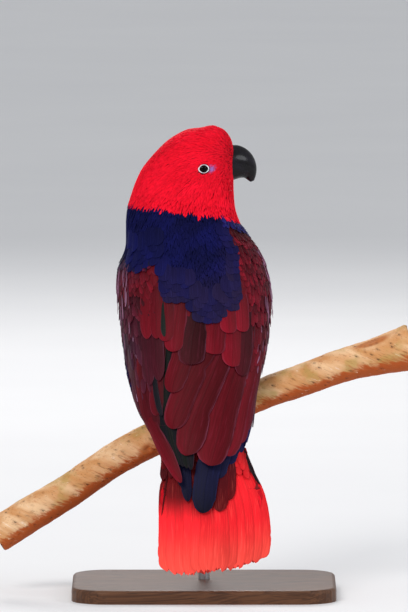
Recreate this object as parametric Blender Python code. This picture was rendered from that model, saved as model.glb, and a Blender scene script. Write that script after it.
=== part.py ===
"""Female eclectus parrot, life size, on a cut length of branch over a plain display stand.

The bird faces -Y with its head turned to its own right, which is -X. Its back is towards +Y.
Lengths are written in millimetres and turned into metres where the vertices are placed.
"""
import math

import bmesh
import bpy
from mathutils import Matrix, Vector

MM = 0.001
GAP = 0.35

# Outline of the perched bird with folded wings, from the crown down to the root of the tail.
# Each station is a height, the left and right edges, the back, the front and the turn in degrees.
BODY_STATIONS = {
    "crown": (335.8, 2.0, -13.0, -29.5, -45.0, 16.0),
    "brow": (330.0, 14.0, -16.8, -21.5, -52.4, 16.0),
    "forehead": (323.0, 25.8, -19.4, -16.0, -57.5, 16.0),
    "eye_line": (307.0, 42.8, -20.2, -13.0, -60.5, 16.0),
    "cheek": (296.0, 48.8, -20.2, -12.0, -62.5, 15.0),
    "throat": (286.0, 52.2, -20.8, -8.0, -66.5, 11.0),
    "neck": (276.0, 55.6, -22.5, -3.0, -71.0, 5.0),
    "collar": (264.0, 57.0, -27.0, 3.0, -76.0, 0.0),
    "shoulder": (251.0, 57.4, -34.4, 10.0, -80.5, 0.0),
    "wrist": (242.0, 61.0, -40.3, 15.0, -82.0, 0.0),
    "upper_back": (232.0, 63.3, -44.8, 20.5, -81.5, 0.0),
    "middle": (212.0, 62.6, -49.0, 29.5, -77.5, 0.0),
    "ribs": (189.0, 60.5, -49.3, 38.5, -66.5, 0.0),
    "flank": (171.0, 57.2, -47.6, 45.0, -51.5, 0.0),
    "belly": (160.0, 54.6, -45.6, 48.7, -31.0, 0.0),
    "vent": (150.0, 51.6, -43.0, 51.8, -5.0, 0.0),
    "rump": (138.0, 47.5, -39.8, 55.4, 9.0, 0.0),
    "tail_root": (122.0, 41.5, -37.4, 60.0, 13.5, 0.0),
}
# Tail outline below its root, measured on the feathers alone.
TAIL_STATIONS = {
    "coverts": (111.0, 26.5, -27.5, 54.0, 21.0, 0.0),
    "fan_base": (98.0, 27.0, -33.5, 59.0, 38.0, 0.0),
    "fan_upper": (86.0, 31.0, -40.5, 63.5, 53.0, 0.0),
    "fan_middle": (72.0, 32.2, -45.5, 69.0, 63.5, 0.0),
    "fan_lower": (56.0, 33.0, -48.3, 74.5, 71.0, 0.0),
    "fan_end": (40.0, 33.2, -47.5, 80.0, 77.6, 0.0),
    "fan_tip": (24.0, 32.4, -45.5, 85.0, 83.2, 0.0),
}
HEAD_FLOOR = 283.0
CROWN_LEVELS = [329.5, 333.3, 335.8, 336.8]
CROWN_PEAK = (-6.0, -37.0)
CROWN_CLOSING = (334.0, 337.4)
NECK_FLOOR = 257.0
TAIL_ROOT = 122.0
TAIL_TIP = 24.0
SECTION_POWER = 2.2

# Folded wings, laid over the trunk.
WING_DEPTH = 8.0
WING_DEPTH_AT_ROOT = 11.0
WING_TOP = 254.5
WING_MIDDLE_TOP = 204.0
WING_EDGE = 1.1
WING_CLEARANCE = 1.3
WING_TIP_DEPTH = 4.0
WING_PARTING_DEG = 24.0
WING_FRONT_DEG = 106.0
WING_TIP_TURN_DEG = 22.0
WING_WRIST_TURN_DEG = 8.0
WING_STEP = 1.2
WING_TIERS = 5
LEFT_WING_LOW = 88.0
LEFT_WING_RISE = 33.0
RIGHT_WING_LOW = 99.0
RIGHT_WING_RISE = 26.0
# How far the wing tips draw in per millimetre below the root of the tail: left, right, back, front.
TIP_DRAW_IN = (0.45, 0.3, 0.46, 0.9)

# Blades of the long flight feathers that show below the folded wings.
BLADE_TOP = 109.0
BLADE_THICKNESS = 2.6
BLADES = {
    "wing_tip_left": {"root_x": 20.0, "tip_x": 11.0, "tip_z": 75.0, "width": 12.0},
    "wing_tip_right": {"root_x": -17.0, "tip_x": 1.0, "tip_z": 66.0, "width": 19.0},
}

# Tail fan.
TAIL_LOBES = 9
TAIL_LOBE_DEPTH = 2.2
TAIL_ROOF = 5.0
FAN_MIDDLE_X = -7.0
FAN_HALF_WIDTH = 41.0
FAN_LOW = 25.5
FAN_TILT = 5.5
FAN_CURL = 10.0
FAN_START = 84.0

# Bill, measured along the head from the feather line and up from the bill's middle.
BILL_HEIGHT = 307.6
CULMEN_RADIUS = 18.3
CULMEN_CENTRE = (1.5, -4.3)
CULMEN_START_DEG = 115.0
CULMEN_SWEEP_DEG = 150.0
BILL_HALF_WIDTH = 9.2

# Eyes, measured the same way.
EYE_RADIUS = 4.6
EYE_BACK = 26.5
EYE_DROP = 1.4
EYE_SINK = 3.4
HEAD_TURN_DEG = 16.0

# Perch: places along the branch, each with its height, its half height and its half depth.
PERCH_DEPTH = -8.0
PERCH_STATIONS = {
    "left_end": (151.0, 40.6, 12.4, 12.0),
    "left": (104.0, 70.0, 12.2, 11.8),
    "left_knot": (46.0, 107.2, 12.0, 11.6),
    "under_bird": (0.0, 125.8, 11.6, 11.4),
    "right": (-51.0, 147.2, 11.2, 11.2),
    "right_bend": (-98.0, 163.8, 11.8, 11.4),
    "fork": (-124.0, 171.4, 13.8, 12.0),
    "right_end": (-151.0, 178.4, 17.2, 13.0),
}

# Legs and feet.
LEGS = {
    "left": {"x": 27.0, "knee": 139.0, "thigh_top": 176.0},
    "right": {"x": -17.0, "knee": 154.5, "thigh_top": 180.0},
}
THIGH_RADIUS = 16.0
THIGH_DEPTH = -22.0
SHANK_DEPTH = -12.5
SHANK_RADIUS = 3.9
TOE_RADIUS = 3.3
TOE_TIP_RADIUS = 2.3
TOE_SPREAD_DEG = 17.0
FOOT_ROOM = 8.8
BALL_SHIFT = Vector((0.13, -0.21, 0.37))
TOE_ROOT_DEG = -6.0
# Each toe has its side of the branch, its splay along the branch and the arc that it covers.
TOES = {
    1: {"side": 1.0, "splay": 0.93, "arc": 88.0},
    2: {"side": -1.0, "splay": 1.0, "arc": 92.0},
    3: {"side": -1.0, "splay": -1.06, "arc": 118.0},
    4: {"side": 1.0, "splay": -0.97, "arc": 112.0},
}
CLAW_ARC = 38.0
CLAW_RADIUS = 1.75

# Stand.
BASE_LENGTH = 190.0
BASE_WIDTH = 140.0
BASE_THICKNESS = 10.0
BASE_CORNER = 26.0
BASE_EDGE = 2.5
ROD_RADIUS = 4.0
ROD_SEAT = 7.0

PALETTE = {
    "head_red": ((0.75, 0.015, 0.03), 0.6, 0.0),
    "mantle_blue": ((0.012, 0.014, 0.09), 0.6, 0.0),
    "wing_maroon": ((0.12, 0.008, 0.015), 0.5, 0.0),
    "flight_navy": ((0.015, 0.012, 0.05), 0.5, 0.0),
    "tail_red": ((0.8, 0.05, 0.03), 0.55, 0.0),
    "bill_black": ((0.02, 0.018, 0.02), 0.3, 0.0),
    "eye_dark": ((0.01, 0.008, 0.01), 0.08, 0.0),
    "foot_grey": ((0.16, 0.15, 0.16), 0.65, 0.0),
    "claw_black": ((0.03, 0.03, 0.03), 0.35, 0.0),
    "bark_tan": ((0.55, 0.34, 0.18), 0.8, 0.0),
    "stand_wood": ((0.09, 0.05, 0.03), 0.45, 0.0),
    "rod_steel": ((0.6, 0.6, 0.6), 0.3, 1.0),
}


def clear_scene():
    for thing in list(bpy.data.objects):
        bpy.data.objects.remove(thing, do_unlink=True)


def finish_of(name):
    """Principled material with the colour, roughness and metallic value of the palette."""
    material = bpy.data.materials.get(name)
    if material is None:
        colour, roughness, metallic = PALETTE[name]
        material = bpy.data.materials.new(name)
        material.use_nodes = True
        shader = material.node_tree.nodes["Principled BSDF"]
        shader.inputs["Base Color"].default_value = (*colour, 1.0)
        shader.inputs["Roughness"].default_value = roughness
        shader.inputs["Metallic"].default_value = metallic
        material.diffuse_color = (*colour, 1.0)
    return material


def make_object(name, bm, finish, helper=False):
    """Turn a bmesh, built in millimetres, into an object in metres."""
    bmesh.ops.recalc_face_normals(bm, faces=bm.faces)
    bmesh.ops.triangulate(bm, faces=[face for face in bm.faces if len(face.verts) > 4])
    bmesh.ops.scale(bm, vec=(MM, MM, MM), verts=bm.verts)
    mesh = bpy.data.meshes.new(name)
    bm.to_mesh(mesh)
    bm.free()
    mesh.shade_smooth()
    mesh.set_sharp_from_angle(angle=math.radians(35.0))
    mesh.materials.append(finish_of(finish))
    thing = bpy.data.objects.new(name, mesh)
    bpy.context.scene.collection.objects.link(thing)
    if helper:
        thing.hide_render = True
        thing.display_type = "WIRE"
    return thing


def combine(target, helper, operation):
    """Add an exact Boolean of a helper object to the target."""
    step = target.modifiers.new(f"{operation}_{helper.name}".lower(), "BOOLEAN")
    step.operation = operation
    step.solver = "EXACT"
    step.object = helper


def swept_mesh(levels, place, sides):
    """Extrude one loop through the levels, with each vertex placed by its level and its turn."""
    bm = bmesh.new()
    turn = bm.verts.layers.float.new("turn")
    bmesh.ops.create_circle(bm, cap_ends=True, segments=sides, radius=1.0)
    for vertex in bm.verts:
        vertex[turn] = math.atan2(vertex.co.x, vertex.co.y)
        vertex.co = place(levels[0], vertex[turn])
    cap = list(bm.faces)
    for index, level in enumerate(levels[1:]):
        grown = bmesh.ops.extrude_face_region(bm, geom=cap)["geom"]
        if index:
            bmesh.ops.delete(bm, geom=cap, context="FACES_ONLY")
        cap = [part for part in grown if isinstance(part, bmesh.types.BMFace)]
        for vertex in (part for part in grown if isinstance(part, bmesh.types.BMVert)):
            vertex.co = place(level, vertex[turn])
    return bm


def smooth_value(stations, place, column):
    """Cubic through one column of the stations, whose first column is the place."""
    rows = sorted(stations.values())
    if place <= rows[0][0]:
        return rows[0][column]
    if place >= rows[-1][0]:
        return rows[-1][column]
    index = max(i for i, row in enumerate(rows) if row[0] <= place)
    low, high = rows[index], rows[index + 1]
    before, after = rows[max(index - 1, 0)], rows[min(index + 2, len(rows) - 1)]
    span = high[0] - low[0]
    share = (place - low[0]) / span
    slope_low = (high[column] - before[column]) / (high[0] - before[0]) * span
    slope_high = (after[column] - low[column]) / (after[0] - low[0]) * span
    rise = high[column] - low[column]
    return (low[column] + share * slope_low
            + share ** 2 * (3.0 * rise - 2.0 * slope_low - slope_high)
            + share ** 3 * (slope_low + slope_high - 2.0 * rise))


def ease(value, low, high):
    """Smooth step from 0 at low to 1 at high."""
    share = min(max((value - low) / (high - low), 0.0), 1.0)
    return share * share * (3.0 - 2.0 * share)


def steps(first, last, count):
    """Evenly spaced levels, with both ends."""
    return [first + (last - first) * index / (count - 1) for index in range(count)]


def signed_power(value, power):
    return math.copysign(abs(value) ** power, value)


def body_roll(height):
    """Slope of the bird's cross axis, steeper at the belly, which lies along the branch."""
    whole = 0.07 * ease(height, 95.0, 130.0) * (1.0 - ease(height, 245.0, 275.0))
    return whole + 0.13 * ease(height, 126.0, 148.0) * (1.0 - ease(height, 158.0, 195.0))


def wing_depth(height):
    """Thickness of the folded wing, which the trunk gives up at its sides and back."""
    deep = WING_DEPTH_AT_ROOT + (WING_DEPTH - WING_DEPTH_AT_ROOT) * ease(height, 122.0, 155.0)
    return deep * (1.0 - ease(height, 246.0, 267.0))


def section_point(sizes, angle, height, power=SECTION_POWER):
    """Point of a level section; the angle runs from the back round the bird's left side."""
    left, right, back, front, turn = sizes
    across = (left - right) / 2.0 * signed_power(math.sin(angle), 2.0 / power)
    deep = (back - front) / 2.0 * signed_power(math.cos(angle), 2.0 / power)
    spin = math.radians(turn)
    x = (left + right) / 2.0 + across * math.cos(spin) - deep * math.sin(spin)
    y = (back + front) / 2.0 + across * math.sin(spin) + deep * math.cos(spin)
    return Vector((x, y, height - body_roll(height) * across))


def body_sizes(height, inset):
    """Sizes of the body's section, drawn in from the outline at the sides and the back."""
    left, right, back, front, turn = (smooth_value(BODY_STATIONS, height, column)
                                      for column in range(1, 6))
    return left - inset, right + inset, back - inset, front, turn


def head_width_factor(height, angle):
    """The face narrows from the cheeks towards the bill."""
    towards_bill = max(-math.sin(angle), 0.0)
    return 1.0 - 0.2 * ease(height, 276.0, 300.0) * towards_bill ** 1.5


def body_point(height, angle, grow=0.0):
    left, right, back, front, turn = body_sizes(height, wing_depth(height) - grow)
    front -= grow
    middle = (back + front) / 2.0
    narrow = head_width_factor(height, angle)
    back = middle + (back - middle) * narrow
    front = middle + (front - middle) * narrow
    return section_point((left, right, back, front, turn), angle, height)


def tail_end_height(x):
    """Lower edge of the fan: a shallow arc, higher on the right, with a lobe for each feather."""
    share = (x - FAN_MIDDLE_X) / FAN_HALF_WIDTH
    arc = FAN_LOW - FAN_TILT * share + FAN_CURL * share ** 4
    lobe = abs(math.sin(math.pi * TAIL_LOBES * (share + 1.0) / 2.0))
    return arc + TAIL_LOBE_DEPTH * (1.0 - lobe ** 0.6)


def tail_sizes(height):
    """Sizes of the tail's section: the trunk's own outline at the root, thinning into a fan."""
    rows = dict(TAIL_STATIONS)
    rows["root"] = (TAIL_ROOT, *body_sizes(TAIL_ROOT, wing_depth(TAIL_ROOT)))
    return tuple(smooth_value(rows, height, column) for column in range(1, 6))


def tail_roof(height, x, sizes):
    """How far the edges of the fan droop from its middle feathers."""
    fan = 1.0 - ease(height, FAN_START, TAIL_ROOT)
    share = (x - (sizes[0] + sizes[1]) / 2.0) / ((sizes[0] - sizes[1]) / 2.0)
    return TAIL_ROOF * fan * share ** 2


def tail_point(height, angle):
    sizes = tail_sizes(height)
    point = section_point(sizes, angle, height)
    point.y -= tail_roof(height, point.x, sizes)
    drop = (TAIL_ROOT - height) / (TAIL_ROOT - TAIL_TIP)
    fan = 1.0 - ease(height, FAN_START, TAIL_ROOT)
    point.z += fan * drop ** 3 * (tail_end_height(point.x) - TAIL_TIP)
    return point


def tail_back(height, x):
    """Depth of the tail's upper face at a place, with the slope of the cross axis taken out."""
    height += body_roll(height) * x
    sizes = tail_sizes(height)
    left, right, back, front, _ = sizes
    share = min(abs(x - (left + right) / 2.0) / ((left - right) / 2.0), 0.97)
    bulge = (1.0 - share ** SECTION_POWER) ** (1.0 / SECTION_POWER)
    edge_x = (left + right) / 2.0 + share * (left - right) / 2.0
    return (back + front) / 2.0 + (back - front) / 2.0 * bulge - tail_roof(height, edge_x, sizes)


def make_trunk_line():
    """Head, neck, trunk and tail: one outline, parted by thin level cuts."""
    head_levels = steps(HEAD_FLOOR + GAP, 324.0, 8) + CROWN_LEVELS
    head = make_object("head", swept_mesh(head_levels, head_point, 28), "head_red")
    neck_levels = steps(NECK_FLOOR + GAP, HEAD_FLOOR, 4)
    make_object("neck", swept_mesh(neck_levels, body_point, 28), "head_red")
    trunk_levels = steps(TAIL_ROOT + GAP, 166.0, 9) + steps(174.0, NECK_FLOOR, 9)
    trunk = make_object("trunk", swept_mesh(trunk_levels, body_point, 28), "mantle_blue")
    tail_levels = steps(TAIL_ROOT, TAIL_TIP, 10)
    make_object("tail", swept_mesh(tail_levels, tail_point, 38), "tail_red")
    return head, trunk


def head_point(height, angle):
    """The crown's last levels close in on its highest point."""
    closing = ease(height, *CROWN_CLOSING)
    point = body_point(min(height, BODY_STATIONS["crown"][0]), angle)
    peak = Vector((*CROWN_PEAK, height))
    point.z = height
    return point.lerp(peak, closing)


def wing_bottom(side, share):
    """Lower edge of the folded wing; the right wing lies over the middle of the back."""
    if side > 0.0:
        return LEFT_WING_LOW + LEFT_WING_RISE * share ** 1.3
    return RIGHT_WING_LOW + RIGHT_WING_RISE * (2.0 * share - 1.0) ** 2


def wing_top(side, angle):
    """Upper edge: the wrist on the flank, and the hem of the mantle near the spine."""
    spread = abs(math.degrees(angle)) if side < 0.0 else math.degrees(angle) + 12.0
    return WING_MIDDLE_TOP + (WING_TOP - WING_MIDDLE_TOP) * ease(spread, 22.0, 62.0)


def wing_point(side, share, rise, outer):
    """Point of the wing shell; share runs from the spine to the flank and rise from tip to wrist."""
    inner_deg = WING_PARTING_DEG + (1.0 if side > 0.0 else -1.0)
    start = math.radians(inner_deg if side > 0.0 else -inner_deg)
    tip_turn = WING_TIP_TURN_DEG * (1.0 - ease(rise, 0.0, 0.55))
    wrist_turn = WING_WRIST_TURN_DEG * ease(rise, 0.75, 1.0)
    end = math.radians(WING_FRONT_DEG - tip_turn - wrist_turn)
    turn = start + (end - start) * share
    height = wing_bottom(side, share)
    height += (wing_top(side, side * turn) - height) * rise
    left, right, back, front, _ = body_sizes(height, 0.0)
    below = max(TAIL_ROOT - height, 0.0)
    left, right = left - TIP_DRAW_IN[0] * below, right + TIP_DRAW_IN[1] * below
    back, front = back + TIP_DRAW_IN[2] * below, front + TIP_DRAW_IN[3] * below
    lift = wing_depth(height) - WING_CLEARANCE
    lift = WING_TIP_DEPTH + (lift - WING_TIP_DEPTH) * ease(height, 96.0, TAIL_ROOT + 1.0)
    if outer:
        across = 1.0 - (2.0 * share - 1.0) ** 8
        along = 1.0 - (2.0 * rise - 1.0) ** 10
        swell = math.sqrt(max(across * along, 0.0))
        tier = (rise * WING_TIERS + 0.001) % 1.0
        lift -= max(WING_EDGE, lift * swell - WING_STEP * tier)
    sizes = (left - lift, right + lift, back - lift, front, 0.0)
    return section_point(sizes, side * turn, height)


def make_wing(name, side, columns, rows):
    """Closed shell: a grid on the outer face, extruded to the face over the trunk."""
    bm = bmesh.new()
    share = bm.verts.layers.float.new("share")
    rise = bm.verts.layers.float.new("rise")
    bmesh.ops.create_grid(bm, x_segments=columns, y_segments=rows, size=0.5)
    for vertex in bm.verts:
        vertex[share], vertex[rise] = vertex.co.x + 0.5, vertex.co.y + 0.5
        vertex.co = wing_point(side, vertex[share], vertex[rise], True)
    grown = bmesh.ops.extrude_face_region(bm, geom=list(bm.faces))["geom"]
    for vertex in (part for part in grown if isinstance(part, bmesh.types.BMVert)):
        vertex.co = wing_point(side, vertex[share], vertex[rise], False)
    return make_object(name, bm, "wing_maroon")


def make_blade(name, sizes):
    """Blade of the long flight feathers, lying on the tail and narrowing to a rounded tip."""
    def place(rise, angle):
        height = BLADE_TOP + (sizes["tip_z"] - BLADE_TOP) * rise
        rounding = math.sqrt(max(1.0 - rise ** 5, 0.002))
        half = sizes["width"] / 2.0 * (1.0 - 0.2 * rise) * rounding
        half *= 0.55 + 0.45 * ease(rise, 0.0, 0.3)
        middle = sizes["root_x"] + (sizes["tip_x"] - sizes["root_x"]) * rise ** 0.85
        x = middle + half * math.sin(angle)
        thick = BLADE_THICKNESS / 2.0 * (1.0 + math.cos(angle) * rounding)
        y = tail_back(height, x) + GAP + 0.9 * ease(height, 84.0, 104.0) + thick
        return Vector((x, y, height))

    bm = swept_mesh(steps(0.0, 1.0, 8), place, 10)
    return make_object(name, bm, "flight_navy")


def head_axes():
    """Forward, sideways and up of the turned head; sideways is the bird's own right."""
    spin = math.radians(HEAD_TURN_DEG)
    forward = Vector((-math.cos(spin), -math.sin(spin), 0.0))
    sideways = Vector((-math.sin(spin), math.cos(spin), 0.0))
    return forward, sideways, Vector((0.0, 0.0, 1.0))


def bill_root():
    return body_point(BILL_HEIGHT, -math.pi / 2.0)


def on_head(ahead, beside, above):
    """Point of the head from distances ahead of the feather line, to its right and above."""
    forward, sideways, up = head_axes()
    return bill_root() + ahead * forward + beside * sideways + above * up


def culmen(share):
    angle = math.radians(CULMEN_START_DEG - CULMEN_SWEEP_DEG * share)
    return (CULMEN_CENTRE[0] + CULMEN_RADIUS * math.cos(angle),
            CULMEN_CENTRE[1] + CULMEN_RADIUS * math.sin(angle))


def cutting_edge(share):
    """Lower line of the upper bill, arched before it runs out into the hook."""
    ahead = -6.5 + 22.6 * share
    above = -11.0 + 1.8 * ease(share, 0.3, 0.72) - 5.4 * ease(share, 0.72, 1.0)
    return ahead, above


def upper_bill_point(share, angle, grow=0.0):
    top, low = culmen(share), cutting_edge(share)
    mid = ((top[0] + low[0]) / 2.0, (top[1] + low[1]) / 2.0)
    reach = ((top[0] - low[0]) / 2.0, (top[1] - low[1]) / 2.0)
    length = math.hypot(*reach) + 1e-6
    stretch = 1.0 + grow / length
    up = signed_power(math.cos(angle), 0.9) * stretch
    pinch = 1.0 - 0.35 * max(math.cos(angle), 0.0) ** 2
    half = BILL_HALF_WIDTH * (1.0 - 0.93 * max(share, 0.0) ** 1.9) * pinch + grow
    return on_head(mid[0] + reach[0] * up, -half * math.sin(angle), mid[1] + reach[1] * up)


def lower_bill_point(share, angle, grow=0.0):
    ahead = -11.0 + 16.5 * share
    top = -12.2
    low = -20.5 + 5.5 * share ** 2
    round_end = math.sqrt(1.0 - 0.72 * share ** 4)
    half = 7.2 * (1.0 - 0.3 * share) * round_end + grow
    mid, reach = (top + low) / 2.0, (top - low) / 2.0 * round_end + grow
    return on_head(ahead, -half * math.sin(angle), mid + reach * math.cos(angle))


def make_bill(head):
    """Upper and lower bill, set in pockets of the head."""
    shapes = (("bill_upper", upper_bill_point, 12, 14), ("bill_lower", lower_bill_point, 6, 12))
    for name, place, count, sides in shapes:
        make_object(name, swept_mesh(steps(0.0, 1.0, count), place, sides), "bill_black")

        def grown(share, angle, shape=place):
            return shape(share, angle, GAP)

        pocket = swept_mesh(steps(-0.02, 0.999, count), grown, sides)
        combine(head, make_object(f"{name}_pocket", pocket, "bill_black", True), "DIFFERENCE")


def make_ball(name, centre, radius, finish, helper=False):
    bm = bmesh.new()
    bmesh.ops.create_uvsphere(bm, u_segments=12, v_segments=8, radius=radius)
    bmesh.ops.rotate(bm, verts=bm.verts, matrix=Matrix.Rotation(math.pi / 2.0, 3, "X"))
    bmesh.ops.translate(bm, verts=bm.verts, vec=centre)
    return make_object(name, bm, finish, helper)


def make_eyes(head):
    """Eyeballs in round sockets on both sides of the head."""
    height = BILL_HEIGHT - EYE_DROP
    for name, side in (("eye_right", 1.0), ("eye_left", -1.0)):
        angle = 0.0 if side > 0.0 else math.pi
        wall = abs((body_point(height, angle) - body_point(height, math.pi - angle)).length) / 2.0
        centre = on_head(-EYE_BACK, side * (wall * 0.955 - EYE_SINK), -EYE_DROP)
        make_ball(name, centre, EYE_RADIUS, "eye_dark")
        socket = make_ball(f"{name}_socket", centre, EYE_RADIUS + GAP, "eye_dark", True)
        combine(head, socket, "DIFFERENCE")


def perch_value(x, column):
    return smooth_value(PERCH_STATIONS, x, column)


def perch_axis(x):
    """Direction of the branch towards its right end."""
    rise = perch_value(x - 2.0, 1) - perch_value(x + 2.0, 1)
    return Vector((-4.0, 0.0, rise)).normalized()


def perch_point(x, angle, grow=0.0):
    """Point of the bark, whose radius swells and sinks a little along the branch."""
    axis = perch_axis(x)
    lift = axis.cross(Vector((0.0, 1.0, 0.0)))
    lift = lift if lift.z > 0.0 else -lift
    lumps = 0.35 * math.sin(x / 17.0 + 2.0 * angle) + 0.3 * math.sin(x / 9.0 - angle)
    fork = 2.6 * ease(-x, 112.0, 150.0) * (math.cos(2.0 * angle) - 1.0) * max(-math.sin(angle), 0.0)
    knot = 1.6 * math.exp(-((x - 40.0) / 7.0) ** 2) * max(math.sin(angle - 0.4), 0.0) ** 3
    extra = lumps + fork + knot + grow
    centre = Vector((x, PERCH_DEPTH, perch_value(x, 1)))
    high = (perch_value(x, 2) + extra) * math.cos(angle)
    deep = (perch_value(x, 3) + extra) * math.sin(angle)
    return centre + high * lift + Vector((0.0, deep, 0.0))


def perch_top(x):
    return perch_value(x, 1) + perch_value(x, 2) / max(abs(perch_axis(x).x), 0.5)


def make_perch(trunk):
    """Cut branch, with the drilled seat for the rod under the bird."""
    ends = PERCH_STATIONS["left_end"][0], PERCH_STATIONS["right_end"][0]
    levels = steps(*ends, 23)
    perch = make_object("perch", swept_mesh(levels, perch_point, 16), "bark_tan")

    def wide(x, angle):
        return perch_point(x, angle, FOOT_ROOM)

    room = make_object("perch_room", swept_mesh(steps(60.0, -60.0, 9), wide, 18), "bark_tan", True)
    combine(trunk, room, "DIFFERENCE")
    return perch


def make_thigh(side, sizes, trunk_room):
    """Feathered thigh, from inside the belly down to a level end at the shank."""
    def place(rise, angle):
        height = sizes["knee"] + (sizes["thigh_top"] - sizes["knee"]) * rise
        swell = 0.42 + 0.58 * ease(rise, -0.1, 0.55)
        depth = SHANK_DEPTH + (THIGH_DEPTH - SHANK_DEPTH) * ease(rise, 0.0, 0.6)
        x = sizes["x"] + THIGH_RADIUS * swell * math.sin(angle)
        return Vector((x, depth + 1.1 * THIGH_RADIUS * swell * math.cos(angle), height))

    bm = swept_mesh(steps(0.0, 1.0, 8), place, 16)
    thigh = make_object(f"thigh_{side}", bm, "mantle_blue")
    combine(thigh, trunk_room, "DIFFERENCE")


def toe_radial(x, swing, side):
    """Unit direction square to the branch, swung down from its top to one side."""
    axis = perch_axis(x)
    lift = Vector((0.0, 1.0, 0.0)).cross(axis)
    lift = lift if lift.z > 0.0 else -lift
    return lift * math.cos(swing) + Vector((0.0, side, 0.0)) * math.sin(swing)


def toe_path(foot_x, toe, swing, radius):
    """Middle line of a toe: down round the bark, and a little along it."""
    wander = math.tan(math.radians(TOE_SPREAD_DEG)) * toe["splay"] * 12.0 * math.sin(swing)
    x = foot_x + 2.4 * toe["splay"] + wander
    radial = toe_radial(x, swing, toe["side"])
    bark = math.hypot(perch_value(x, 2) * math.cos(swing), perch_value(x, 3) * math.sin(swing))
    centre = Vector((x, PERCH_DEPTH, perch_value(x, 1)))
    return centre + radial * (bark + 1.0 + GAP + radius)


def toe_ring(foot_x, toe, swing, radius, lift, angle):
    """One vertex of a toe or claw section, square to its middle line."""
    middle = toe_path(foot_x, toe, swing, lift)
    ahead = (toe_path(foot_x, toe, swing + 0.05, lift) - middle).normalized()
    outward = toe_radial(middle.x, swing, toe["side"])
    beside = ahead.cross(outward).normalized()
    outward = beside.cross(ahead).normalized()
    return middle + radius * (math.cos(angle) * outward + math.sin(angle) * beside)


def make_toe(side, sizes, number, toe):
    """Toe and its claw, which starts past a thin gap at the toe's end."""
    arc = math.radians(toe["arc"])
    root = math.radians(TOE_ROOT_DEG - 3.0 * number)

    def toe_place(share, angle):
        radius = TOE_RADIUS + (TOE_TIP_RADIUS - TOE_RADIUS) * share
        radius *= 1.0 + 0.08 * math.cos(share * 6.0 * math.pi)
        swing = root + (arc - root) * share
        return toe_ring(sizes["x"], toe, swing, radius, TOE_RADIUS, angle)

    def claw_place(share, angle):
        start = arc + math.radians(1.6)
        swing = start + math.radians(CLAW_ARC) * share
        radius = CLAW_RADIUS * (1.0 - 0.82 * share ** 1.2)
        lift = TOE_RADIUS + 1.5 * math.sin(math.pi * share) - 1.2 * share
        return toe_ring(sizes["x"], toe, swing, radius, lift, angle)

    toe_bm = swept_mesh(steps(0.0, 1.0, 7), toe_place, 7)
    claw_bm = swept_mesh(steps(0.0, 1.0, 5), claw_place, 6)
    make_object(f"claw_{side}_{number}", claw_bm, "claw_black")
    return make_object(f"toe_{side}_{number}", toe_bm, "foot_grey", True)


def make_foot(side, sizes, trunk):
    """Shank and four toes, two to the front of the branch and two to the back."""
    x = sizes["x"]
    top = Vector((x, SHANK_DEPTH, sizes["knee"] - GAP))
    sole = Vector((x, PERCH_DEPTH, perch_top(x) + GAP + 1.0 + TOE_RADIUS))

    def place(share, angle):
        middle = top.lerp(sole, share)
        radius = SHANK_RADIUS * (1.0 + 0.22 * ease(share, 0.4, 1.0))
        return middle + radius * Vector((math.sin(angle), math.cos(angle), 0.0))

    def room_place(share, angle):
        middle = (top + Vector((0.0, 0.0, 1.0))).lerp(sole, share)
        radius = SHANK_RADIUS * 1.3 + 0.5
        return middle + radius * Vector((math.sin(angle), math.cos(angle), 0.0))

    room = swept_mesh([0.0, 1.0], room_place, 12)
    combine(trunk, make_object(f"foot_room_{side}", room, "foot_grey", True), "DIFFERENCE")
    foot = make_object(f"foot_{side}", swept_mesh(steps(0.0, 1.0, 5), place, 12), "foot_grey")
    for number, toe in TOES.items():
        combine(foot, make_toe(side, sizes, number, toe), "UNION")
    ball = make_ball(f"ball_{side}", sole + BALL_SHIFT, TOE_RADIUS * 1.22, "foot_grey", True)
    combine(foot, ball, "UNION")


def make_stand(perch):
    """Flat base with rounded corners and the rod that carries the branch."""
    bm = bmesh.new()
    bmesh.ops.create_cube(bm, size=1.0)
    bmesh.ops.scale(bm, vec=(BASE_LENGTH, BASE_WIDTH, BASE_THICKNESS), verts=bm.verts)
    bmesh.ops.translate(bm, vec=(0.0, 0.0, BASE_THICKNESS / 2.0), verts=bm.verts)
    posts = [edge for edge in bm.edges if abs(edge.verts[0].co.z - edge.verts[1].co.z) > 1.0]
    bmesh.ops.bevel(bm, geom=posts, offset=BASE_CORNER, segments=6, profile=0.5,
                    affect="EDGES", material=-1)
    rim = [edge for edge in bm.edges if min(v.co.z for v in edge.verts) > BASE_THICKNESS - 0.01]
    bmesh.ops.bevel(bm, geom=rim, offset=BASE_EDGE, segments=3, profile=0.5,
                    affect="EDGES", material=-1)
    base = make_object("stand_base", bm, "stand_wood")
    rod_low = BASE_THICKNESS - ROD_SEAT
    rod_high = perch_value(0.0, 1) - perch_value(0.0, 2) + ROD_SEAT

    def rod_mesh(low, high, radius):
        def place(level, angle):
            return Vector((radius * math.sin(angle), PERCH_DEPTH + radius * math.cos(angle), level))
        return swept_mesh([low, high], place, 20)

    make_object("stand_rod", rod_mesh(rod_low, rod_high, ROD_RADIUS), "rod_steel")
    bore = rod_mesh(rod_low - GAP, rod_high + GAP, ROD_RADIUS + GAP)
    bore = make_object("rod_bore", bore, "rod_steel", True)
    combine(base, bore, "DIFFERENCE")
    combine(perch, bore, "DIFFERENCE")


def make_trunk_room():
    """Helper: the trunk a little enlarged, which the thighs are cut by."""
    def place(height, angle):
        return body_point(height, angle, 0.5)

    levels = steps(TAIL_ROOT - 1.0, 166.0, 9) + steps(174.0, 230.0, 6)
    return make_object("trunk_room", swept_mesh(levels, place, 28), "mantle_blue", True)


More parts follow.
